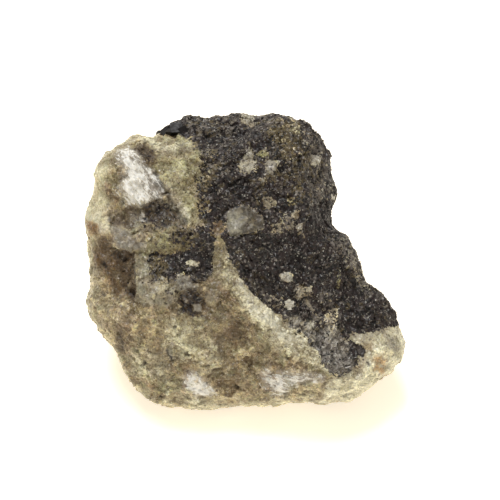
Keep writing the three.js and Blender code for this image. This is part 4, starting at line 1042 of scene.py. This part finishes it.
def ore(node, p):
    """Return the ore's colour, and 1 where a point is ore and 0 where it is carbonate."""
    black = lay(node, COLOUR["ore_black"], "ore_brown", p.third, 0.2, 1.0)
    black = lay(node, black, "ore_brown", p.broad[1], 0.42, 0.6, 0.6)
    stained = total(node, p.close[0], (p.ore_crystal[0], ORE_CRYSTAL_WEIGHT),
                    (p.share["ochre"], 0.34), (p.first, GRAIN_WEIGHT))
    black = lay(node, black, "ochre", stained, 0.82, 1.02, 0.9)
    greyed = total(node, p.close[1], (p.ore_crystal[1], ORE_CRYSTAL_WEIGHT),
                   (p.share["grey"], 0.28), (p.second, GRAIN_WEIGHT))
    black = lay(node, black, "ore_grey", greyed, 0.84, 1.04, 0.75)
    light = node("Math", [total(node, p.second, (p.swarm, -1.0)), LIGHT_GRAINS],
                 operation="LESS_THAN")
    black = lay(node, black, "ore_grey", light, strength=0.85)
    darkest = node("Math", [p.second, BLACK_GRAINS], operation="GREATER_THAN")
    black = lay(node, black, "ore_black", darkest)
    # Painted glints: a few of the smallest facets of the ore are lightened towards milky.
    painted_glint = node("MapRange", [p.tiny[1], 0.0, 1.0, 0.15, 0.7])
    painted_glint = node("Math", [p.tiny_light, painted_glint], operation="MULTIPLY")
    black = lay(node, black, "milky", painted_glint)
    black = lay(node, black, "dark_and_shade", p.share["dark_and_shade"])
    in_specks = node("MapRange", [p.speck, *NOISE_RANGE, -0.12, 0.12])
    reach = total(node, p.share["ore"], (in_specks, 1.0), (p.first, -0.76))
    return black, node("MapRange", [reach, 0.07, 0.17])


print("light grains in the ore, of a hundred:", round(100 * LIGHT_GRAINS))

# %% [markdown]
# ## Powder and fibres
#
# A hammer that glances off leaves calcite crushed to a white powder, in streaks along the way it
# slid. The streaks are noise that is stretched in that direction, and between them lies a thin
# haze. In the plug of ore below the scoop, strands of mica wind round its middle. They are noise
# too, read in round coordinates: the distance from the middle, and the angle round it.

# %% Where powder and fibres lie
FACE_TURN = Matrix.Rotation(FACE_TILT, 3, "X")
BLOW_DIRECTIONS = {"upper": -54, "lower": -14}  # of the bruises' streaks on the face, in degrees
STREAK_STRETCH = (5.5, 1.0, 1.0)
STREAK_SIZES = (0.2, 0.6)  # mm across
PLUG_CENTRE = (14.4, -12.3)  # u and v of the middle that the plug's fibres wind round
PLUG_MIDDLE = FACE_ORIGIN + ALONG_U * PLUG_CENTRE[0] + ALONG_V * PLUG_CENTRE[1]
STRAND = 0.22  # mm across
STRAND_PACE = 0.3  # mm of noise for each radian round the middle
STREAKY = (2.0, 0.6)  # detail and roughness of both


def powder(node, p):
    """Return how thick the powder lies."""
    streaks = []
    for direction in BLOW_DIRECTIONS.values():
        turn = (FACE_TURN @ Matrix.Rotation(math.radians(direction), 3, "Z")).to_euler()
        sockets = {"Vector": p.place, "Rotation": turn, "Scale": STREAK_STRETCH}
        along = node("Mapping", sockets, vector_type="TEXTURE")
        narrow, wide = (
            node("TexNoise", noise_of(along, size, *STREAKY), out="Fac") for size in STREAK_SIZES
        )
        streaks.append(node("Math", [narrow, wide], operation="ADD"))
    bruise = p.share["bruise"]
    streak = node("Mix", {0: p.share["sweep"], 2: streaks[0], 3: streaks[1]})
    streak = node("MapRange", [streak, 0.7, 1.3, -0.8, 0.55])
    patchy = node("MapRange", [p.close[0], 0.35, 0.65, -0.3, 0.2])
    thick = total(node, bruise, (streak, 1.0), (patchy, 1.0))
    thick = node("MapRange", [thick, 0.25, 0.8, 0.0, 0.95])
    haze = node("MapRange", [bruise, 0.05, 0.75, 0.0, 0.36])
    grainy = node("MapRange", [p.fine[2], 0.35, 0.6, 0.5, 1.0])
    haze = node("Math", [haze, grainy], operation="MULTIPLY")
    thick = node("Math", [thick, haze], operation="MAXIMUM")
    only_there = node("MapRange", [bruise, 0.0, 0.15])
    return node("Math", [thick, only_there], operation="MULTIPLY")


def strands(node, p):
    """Return how bright a strand of the plug is."""
    round_plug = node("Mapping", {
        "Vector": p.bent, "Location": Vector(PLUG_MIDDLE) * MM, "Rotation": FACE_TURN.to_euler(),
    }, vector_type="TEXTURE")
    plug_u, plug_v, _ = node("SeparateXYZ", [round_plug], out=None)
    flat = node("CombineXYZ", [plug_u, plug_v, 0.0])
    radius = node("VectorMath", [flat], out="Value", operation="LENGTH")
    winding = node("Math", [plug_v, plug_u], operation="ARCTAN2")
    winding = node("Math", [winding, STRAND_PACE * MM], operation="MULTIPLY")
    wound = node("CombineXYZ", [radius, winding, 0.0])
    strand = node("TexNoise", noise_of(wound, STRAND, *STREAKY), out="Fac")
    bright = node("MapRange", [strand, 0.46, 0.62, 0.0, 0.62])
    bright = node("Math", [p.share["fibre"], bright], operation="MULTIPLY")
    patchy = node("MapRange", [p.close[2], 0.35, 0.6, 0.35, 1.0])
    return node("Math", [bright, patchy], operation="MULTIPLY")


print("the plug's middle, mm:", [round(float(c), 1) for c in PLUG_MIDDLE])

# %% [markdown]
# ## The stone, put together
#
# Calcite is a soft, pearly, slightly translucent mineral: a low, broad gloss and a little light
# that spreads under the surface. The ore is an oxide with a bright, nearly metallic lustre on each
# small facet, which, with glints painted into its colour, gives it its glitter. On the lump every
# grain of the Voronoi pattern is tilted a little by the bump, so that neighbouring grains catch the
# light differently.

# %% The material
CALCITE_IOR = 1.45  # a clear crystal has 1.6, and its broken, dusty sugar shines less
ORE_IOR = 1.4  # a clean face has over 2, but these are too small and too dusty to mirror the lamps
TRANSLUCENCE = 0.65  # of the carbonate. The ore has none
SPREAD = 0.22  # mm that light spreads under the surface
SPREAD_COLOUR = (1.0, 0.92, 0.8)
SPECK_HEIGHT = 0.06  # mm
SEAM_DEPTH = 0.05  # mm
FACET_TILT = (1.1, 0.15)  # of a grain's facet in the sugar, and in a cleaved crystal
POWDER_ROUGHNESS = 0.95


def stone(name, on_grains, ior):
    material, node = new_material(name)
    p = stone_patterns(node, on_grains)
    colour, seam_and_shade = carbonate(node, p)
    black, is_ore = ore(node, p)
    white = powder(node, p)
    colour = node("Mix", {0: is_ore, 6: colour, 7: black}, out=2, data_type="RGBA")
    colour = lay(node, colour, "strand", strands(node, p))
    colour = lay(node, colour, "bruise", white)

    gloss = node("Mix", {
        0: is_ore,
        2: node("MapRange", [p.second, 0.0, 1.0, 0.3, 0.7]),
        3: node("MapRange", [p.third, 0.0, 1.0, 0.3, 0.75]),
    })
    gloss = node("Mix", {0: white, 2: gloss, 3: POWDER_ROUGHNESS})

    height = node("Math", [p.speck, SPECK_HEIGHT * MM], operation="MULTIPLY")
    height = total(node, height, (seam_and_shade, -SEAM_DEPTH * MM))
    if p.facet is not None:
        steep = node("MapRange", [p.share["glassy"], 0.0, 1.0, *FACET_TILT])
        height = total(node, height, (p.facet, steep))
    bump = node("Bump", {"Strength": 1.0, "Distance": 1.0, "Height": height})

    shader = node("BsdfPrincipled", {
        "Base Color": colour, "Roughness": gloss, "IOR": ior, "Normal": bump,
        "Subsurface Weight": node("MapRange", [is_ore, 0.0, 1.0, TRANSLUCENCE, 0.0]),
        "Subsurface Radius": SPREAD_COLOUR, "Subsurface Scale": SPREAD * MM,
    })
    node("OutputMaterial", {"Surface": shader}, out=None)
    return material


lump_stone = stone("sugary carbonatite with black ore, broken", False, CALCITE_IOR)
calcite = stone("calcite sugar", True, CALCITE_IOR)
black_ore = stone("black perovskite-group ore", True, ORE_IOR)
rock = make_piece("broken_lump", rock_mesh, lump_stone)
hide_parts("latrappite_rock")

# %% [markdown]
# ## Seeds for the grains
#
# Calcite cleaves into little rhombs, and a broken face of sugary carbonate is a field of them,
# each 0.3 to 0.5 mm, half sunk in its neighbours. Each grain grows at a seed, a point of the lump.
# The seeds are picked at random, so that no two are closer than a grain's width. A particle system
# could scatter them too, but it would need to be made real before the export.

# %% Spread the seeds
SEED_SPACING = 0.36
SPREAD_SEED = 5
LOWEST_SEED = 0.35  # above the table, so that no grain reaches under it


def spread_seeds(spacing, seed):
    """Pick points of the lump in random order, each at least one spacing from all others."""
    order = list(range(len(lump_points)))
    random.Random(seed).shuffle(order)
    taken = {}
    picked = []
    for index in order:
        point = lump_points[index]
        if point[2] < LOWEST_SEED:
            continue
        box = tuple(int(math.floor(c / spacing)) for c in point)
        near = (
            other
            for dx in (-1, 0, 1) for dy in (-1, 0, 1) for dz in (-1, 0, 1)
            for other in taken.get((box[0] + dx, box[1] + dy, box[2] + dz), ())
        )
        if any(((lump_points[other] - point) ** 2).sum() < spacing * spacing for other in near):
            continue
        taken.setdefault(box, []).append(index)
        picked.append(index)
    return picked


seeds = spread_seeds(SEED_SPACING, SPREAD_SEED)
print(len(seeds), "seeds for grains")

# %% [markdown]
# ## Which way a grain lies
#
# Most grains are tumbled any way. Splinters and flakes lie along the surface instead: in a bruise
# along the way the hammer slid, in the plug round its middle, and elsewhere any way.

# %% Turns
ALL_SWEPT = 0.7  # from this share of sweep on, a splinter lies along the lower blow
IN_PLUG = 0.3  # and from this share of fibre on, it lies round the plug
FREE_SPREAD = 1.4  # radians, outside bruises and plug


def tumbled(chance, index):
    axis = Vector((chance.gauss(0, 1), chance.gauss(0, 1), chance.gauss(0, 1))).normalized()
    return Matrix.Rotation(chance.uniform(0, math.tau), 4, axis)


def lie_along(spread, lift):
    """Return a turn that lays a sliver on the surface, give or take spread and lift, in radians."""
    def lying(chance, index):
        blow = "lower" if shares["sweep"][index] > ALL_SWEPT else "upper"
        direction = math.radians(BLOW_DIRECTIONS[blow])
        if shares["fibre"][index] > IN_PLUG:
            from_middle = (seen_u[index] - PLUG_CENTRE[0], seen_v[index] - PLUG_CENTRE[1])
            direction = math.atan2(from_middle[1], from_middle[0]) + math.pi / 2
        normal = Vector(lump_normals[index])
        along = Vector(ALONG_U * math.cos(direction) + ALONG_V * math.sin(direction))
        along = (along - normal * along.dot(normal)).normalized()
        straight = Matrix((along, normal.cross(along), normal)).transposed().to_4x4()
        free = 1.0 - max(shares["fibre"][index], shares["bruise"][index])
        spin = Matrix.Rotation(chance.gauss(0, spread + FREE_SPREAD * free), 4, "Z")
        tip = Matrix.Rotation(chance.gauss(0, lift), 4, "Y")
        roll = Matrix.Rotation(chance.gauss(0, lift), 4, "X")
        return straight @ spin @ tip @ roll
    return lying


print("blows, degrees:", BLOW_DIRECTIONS)

# %% [markdown]
# ## Growing the grains
#
# All grains of a kind are cubes from one operator, stretched or sheared, each set at its seed and
# sunk in by part of its size, and joined in one mesh. Every grain carries its seed's channels and
# three random values of its own, so that the stone's material gives it one colour.

# %% Cubes on the seeds
RIM_SINK = 0.06  # how much deeper a grain sits on the rim, as a share of its size
CHUNK = 200  # grains are made this many at a time, because an operator slows down in a large mesh


def grow(name, places, shape, turned, sink, seed, cut_corners=0.0):
    """Join one cube for each seed in a mesh. shape gives each cube's size and its matrix."""
    chance = random.Random(seed)
    joined = bmesh.new()
    passing = bpy.data.meshes.new("passing")
    values = []
    for start in range(0, len(places), CHUNK):
        part = bmesh.new()
        for index in places[start:start + CHUNK]:
            size, matrix = shape(chance, index)
            deep = size * (sink + RIM_SINK * rim[index])
            at = Vector(lump_points[index]) - Vector(lump_normals[index]) * deep
            turn = turned(chance, index)
            place = Matrix.Translation(at * MM) @ turn @ matrix @ Matrix.Scale(MM, 4)
            bmesh.ops.create_cube(part, size=1.0, matrix=place)
            values.append((chance.random(), chance.random(), chance.random()))
        part.to_mesh(passing)
        joined.from_mesh(passing)
        part.free()
    if cut_corners:
        bmesh.ops.bevel(
            joined, geom=joined.verts[:], offset=cut_corners * MM, offset_type="OFFSET",
            segments=1, profile=0.5, affect="VERTICES", material=-1, clamp_overlap=True,
        )
    for vertex in joined.verts:
        vertex.co.z = max(vertex.co.z, 0.0)
    bmesh.ops.triangulate(joined, faces=joined.faces)
    bmesh.ops.recalc_face_normals(joined, faces=joined.faces)
    mesh = bpy.data.meshes.new(name)
    joined.to_mesh(mesh)
    joined.free()
    bpy.data.meshes.remove(passing)
    return mesh, values


def dress(name, places, grown, material, ore_share, rounded=False):
    """Give every point of a grain its seed's channels and its own random values."""
    mesh, values = grown
    points_each = len(mesh.vertices) // len(places)
    channels = {key: np.repeat(shares[key][places], points_each) for key in CHANNELS}
    channels["ore"] = np.full(len(mesh.vertices), ore_share)
    set_channels(mesh, channels)
    attribute = mesh.attributes.new("chance", "FLOAT_VECTOR", "POINT")
    own = np.repeat(np.array(values, np.float32), points_each, 0)
    attribute.data.foreach_set("vector", own.ravel())
    if rounded:
        mesh.shade_smooth()
    else:
        mesh.shade_flat()
    return make_piece(name, mesh, material)


print("grains are made", CHUNK, "at a time")

# %% [markdown]
# ## Calcite and ore grains
#
# A calcite grain is a sheared cube, as its cleavage makes it, and its shading is rounded, because
# the real ones are worn. An ore grain is a somewhat smaller block with sharp edges. Large cleaved
# crystals and gaps bear none, and the plug only a few, so that its strands show.

# %% Grow both
RHOMB_SHEAR = Matrix(((1, 0.25, 0.2, 0), (0, 1, 0.25, 0), (0, 0, 1, 0), (0, 0, 0, 1)))
CHOOSER_SEED = 23
MOST_GLASSY = 0.4  # more than this bears no grains
MOST_DARK_AND_SHADE = 0.35
IN_STRANDS = 0.5  # from this share of fibre on, most seeds are left out
LEFT_OUT = 0.65
ORE_FROM = 0.12  # the share of ore at which the first grains are black
ORE_SPAN = 0.76  # and how much more it takes until all are
ALL_CALCITE = -0.5  # a share of ore so low that no grain turns out black
ALL_ORE = 1.5  # and one so high that all do


def rhombs(sizes, breadths, thickness):
    """Return a shape: calcite's rhomb, its breadth and thickness given as shares of its size."""
    def rhomb(chance, index):
        size = chance.uniform(*sizes)
        breadth = size * chance.uniform(*breadths)
        return size, RHOMB_SHEAR @ Matrix.Diagonal((size, breadth, size * thickness, 1.0))
    return rhomb


def ore_cube(chance, index):
    size = chance.uniform(0.18, 0.34)
    return size, Matrix.Diagonal(
        (size, size * chance.uniform(0.5, 1.0), size * chance.uniform(0.6, 1.0), 1.0)
    )


chooser = random.Random(CHOOSER_SEED)
calcite_seeds = []
ore_seeds = []
for index in seeds:
    if shares["glassy"][index] > MOST_GLASSY or shares["dark_and_shade"][index] > MOST_DARK_AND_SHADE:
        continue
    if shares["fibre"][index] > IN_STRANDS and chooser.random() < LEFT_OUT:
        continue
    is_ore_grain = shares["ore"][index] > ORE_FROM + ORE_SPAN * chooser.random()
    (ore_seeds if is_ore_grain else calcite_seeds).append(index)
print(len(calcite_seeds), "calcite grains,", len(ore_seeds), "ore grains")

sugar = rhombs(sizes=(0.26, 0.46), breadths=(0.7, 1.1), thickness=0.85)
grown = grow("calcite_grains", calcite_seeds, sugar, tumbled, sink=0.56, seed=14)
dress("calcite_grains", calcite_seeds, grown, calcite, ALL_CALCITE, rounded=True)
grown = grow("ore_grains", ore_seeds, ore_cube, tumbled, sink=0.36, seed=10)
dress("ore_grains", ore_seeds, grown, black_ore, ALL_ORE)

# %% [markdown]
# ## Crystals in the ore
#
# In one place, on the rim at the top left, the ore has grown into crystals that can be told apart:
# black, nearly cubic, 0.7 to 1.7 mm, with their corners cut and bright faces. Each is a
# cube with its corners bevelled.

# %% Crystals
CRYSTALS = [  # u, v and width of each
    (-9.9, 18.7, 1.7), (-11.2, 18.4, 1.2), (-12.2, 18.1, 0.7), (-8.9, 18.5, 1.2),
    (-10.6, 18.2, 0.9), (-10.7, 18.8, 1.1),
]
CORNER_CUT = 0.09
FACING_ENOUGH = 0.1  # how much a point has to look to the camera
JET_IOR = 1.28  # low, because a clean black face would mirror the whole light tent
GROWTH = 0.35  # mm, of the hillocks on a crystal's face
HILLOCK = 0.04  # mm high


def point_seen_at(u, v):
    """Return the number of the lump's point that faces the camera nearest to u and v."""
    hidden = (lump_normals @ ALONG_W < FACING_ENOUGH) * 100
    return int(np.argmin(np.hypot(seen_u - u, seen_v - v) + hidden))


crystal_places = [point_seen_at(u, v) for u, v, width in CRYSTALS]
width_at = {place: width for place, (u, v, width) in zip(crystal_places, CRYSTALS)}


def crystal(chance, index):
    size = width_at[index]
    return size, Matrix.Diagonal((size, size * chance.uniform(0.8, 1.0), size, 1.0))


jet, node = new_material("black perovskite-group crystal, bright faces")
growth = node("TexNoise", noise_of(node("TexCoord", out="Object"), GROWTH, 3.0, 0.5), out="Fac")
shader = node("BsdfPrincipled", {
    "Base Color": node("Mix", {0: growth, 6: "#060505", 7: "#1d1917"}, out=2, data_type="RGBA"),
    "Roughness": node("MapRange", [growth, 0.35, 0.65, 0.35, 0.7]),
    "IOR": JET_IOR,
    "Normal": node("Bump", {"Strength": 0.5, "Distance": HILLOCK * MM, "Height": growth}),
})
node("OutputMaterial", {"Surface": shader}, out=None)
grown = grow(
    "ore_crystals", crystal_places, crystal, tumbled, sink=0.12, seed=19, cut_corners=CORNER_CUT
)
dress("ore_crystals", crystal_places, grown, jet, ALL_ORE)

# %% [markdown]
# ## Mica glints
#
# The ore is sown with thin flakes of mica. Each shows as a short bright line where it catches the
# light. In the fibrous plug below the scoop they lie side by side. A flake is a very flat cube.

# %% Flakes
SLIVER_WIDTH = (0.05, 0.1)
SLIVER_THICKNESS = 0.05
FLAKE_SHARE = 0.11  # of the ore's grains bear a flake
FLAKE_SHARE_IN_PLUG = 0.6  # and this many more among the strands
FLAKE_SIZE = 0.4
MICA_IOR = 1.6


def sliver(chance, length):
    return Matrix.Diagonal((length, chance.uniform(*SLIVER_WIDTH), SLIVER_THICKNESS, 1.0))


def flake(chance, index):
    return FLAKE_SIZE, sliver(chance, chance.uniform(0.25, 0.55) + 0.5 * shares["fibre"][index])


flake_places = [
    index for index in ore_seeds
    if chooser.random() < FLAKE_SHARE + FLAKE_SHARE_IN_PLUG * shares["fibre"][index]
]
mica, node = new_material("mica, pearly")
own = node("Attribute", out="Fac", attribute_name="chance")
shader = node("BsdfPrincipled", {
    "Base Color": node("Mix", {0: own, 6: "#1b1713", 7: "#8f8779"}, out=2, data_type="RGBA"),
    "Roughness": 0.35, "IOR": MICA_IOR,
})
node("OutputMaterial", {"Surface": shader}, out=None)
lying = lie_along(spread=0.3, lift=0.35)
grown = grow("mica_flakes", flake_places, flake, lying, sink=-0.12, seed=13)
dress("mica_flakes", flake_places, grown, mica, 1.0)

# %% [markdown]
# ## Calcite flecks in the ore
#
# A dozen pale flecks in the black are small nests of calcite, coarser than the sugar. They are the
# same sheared cubes, larger and flatter, seeded where a fleck was traced.

# %% Flecks
FLECK_MARGIN = 0.05  # mm that a fleck reaches over its outline
FLECK_FACING = 0.2  # how much a point has to look to the camera
FLECK_DEPTH = -4  # the w under which nothing is seen of a fleck
FLECK_SHARE = 0.5  # of the seeds in a fleck bear a grain

fleck_share = np.zeros(len(lump_points))
for name, fade, sets, outline in ZONES:
    if name.startswith("fleck"):
        inside = depth_inside(outline, seen_u, seen_v) > -FLECK_MARGIN
        fleck_share = np.maximum(fleck_share, inside)
fleck_places = [
    index for index in seeds
    if fleck_share[index] and lump_normals[index] @ ALONG_W > FLECK_FACING
    and seen_w[index] > FLECK_DEPTH and chooser.random() < FLECK_SHARE
]
coarse = rhombs(sizes=(0.35, 0.65), breadths=(0.6, 1.0), thickness=0.6)
grown = grow("calcite_flecks", fleck_places, coarse, tumbled, sink=0.4, seed=15)
dress("calcite_flecks", fleck_places, grown, calcite, ALL_CALCITE)

# %% [markdown]
# ## Splinters on the bruises
#
# A hammer crushes calcite to powder and drags splinters of it along the way it slid. They are very
# slim cubes that lie along the surface, thickest in the middle of a bruise and few at its fringe.

# %% Splinters
SPLINTER_SIZE = 0.3
SPLINTERED_FROM = 0.1  # the share of bruise at which the first splinters lie
SPLINTERED_SPAN = 1.2  # and how much more it would take for every seed to have one


def splinter(chance, index):
    return SPLINTER_SIZE, sliver(chance, chance.uniform(0.35, 0.95))


splinter_places = [
    index for index in calcite_seeds
    if shares["bruise"][index] > SPLINTERED_FROM + SPLINTERED_SPAN * chooser.random()
]
lying = lie_along(spread=0.6, lift=0.3)
grown = grow("crushed_calcite", splinter_places, splinter, lying, sink=0.0, seed=16)
dress("crushed_calcite", splinter_places, grown, calcite, ALL_CALCITE)

# %% [markdown]
# ## The floor and the light
#
# The specimen lies on a white sheet in a light tent: broad soft light from above and behind, a
# weaker one from in front, and more from the tent and the sheet itself, which is lit from below.
# That leaves only a pale, warm shadow under the lower edge, and makes the thin rims of calcite
# glow.

# %% Floor, world and lamps
SHEET_HALF = 1.5  # metres
SHEET_GLOW = 0.5
TENT_LIGHT = 0.44
LIT_POINT = Vector((0.0, 0.0, 0.012))
LAMPS = [  # name, place and size in metres, watts and colour
    ("soft light above and behind", (-0.07, 0.20, 0.36), 0.20, 1.88, "#ffffff"),
    ("soft light in front", (0.02, -0.30, 0.13), 0.25, 0.56, "#fffaf0"),
]

floor_mesh = bpy.data.meshes.new("white_sheet")
sheet = bmesh.new()
bmesh.ops.create_grid(sheet, x_segments=1, y_segments=1, size=SHEET_HALF)
sheet.to_mesh(floor_mesh)
sheet.free()
floor = bpy.data.objects.new("white_sheet", floor_mesh)
bpy.context.scene.collection.objects.link(floor)
paper, node = new_material("white paper")
shader = node("BsdfPrincipled", {
    "Base Color": "#fffaf0", "Roughness": 0.9,
    "Emission Color": "#fff1d8", "Emission Strength": SHEET_GLOW,
})
node("OutputMaterial", {"Surface": shader}, out=None)
floor_mesh.materials.append(paper)

tent = bpy.data.worlds.new("light tent")
bpy.context.scene.world = tent
tent.use_nodes = True
tent.node_tree.nodes["Background"].inputs["Color"].default_value = linear("#fffaf2")
tent.node_tree.nodes["Background"].inputs["Strength"].default_value = TENT_LIGHT

for name, place, size, power, colour in LAMPS:
    lamp = bpy.data.lights.new(name, "AREA")
    lamp.size = size
    lamp.energy = power
    lamp.color = linear(colour)[:3]
    holder = bpy.data.objects.new(name, lamp)
    bpy.context.scene.collection.objects.link(holder)
    holder.location = place
    holder.rotation_euler = (LIT_POINT - Vector(place)).to_track_quat("-Z", "Y").to_euler()
print(len(LAMPS), "lamps")

# %% [markdown]
# ## The camera
#
# The camera looks square at the broad face, 62 degrees above the table, from 294 mm away with a
# long lens, which matches how little the specimen narrows with distance in the picture.

# %% Place the camera
NEAREST = 0.01  # metres that the camera sees
FARTHEST = 10

camera_data = bpy.data.cameras.new("camera")
camera_data.lens = LENS
camera_data.sensor_width = SENSOR
camera_data.clip_start = NEAREST
camera_data.clip_end = FARTHEST
camera = bpy.data.objects.new("camera", camera_data)
bpy.context.scene.collection.objects.link(camera)
aim = FACE_ORIGIN + ALONG_U * PICTURE_CENTRE[0] + ALONG_V * PICTURE_CENTRE[1]
camera.location = (aim + ALONG_W * CAMERA_DISTANCE) * MM
camera.rotation_mode = "QUATERNION"
camera.rotation_quaternion = Vector(-ALONG_W).to_track_quat("-Z", "Y")
bpy.context.scene.camera = camera
bpy.context.scene.view_settings.view_transform = "Standard"
print("camera height, mm:", round(camera.location.z / MM))
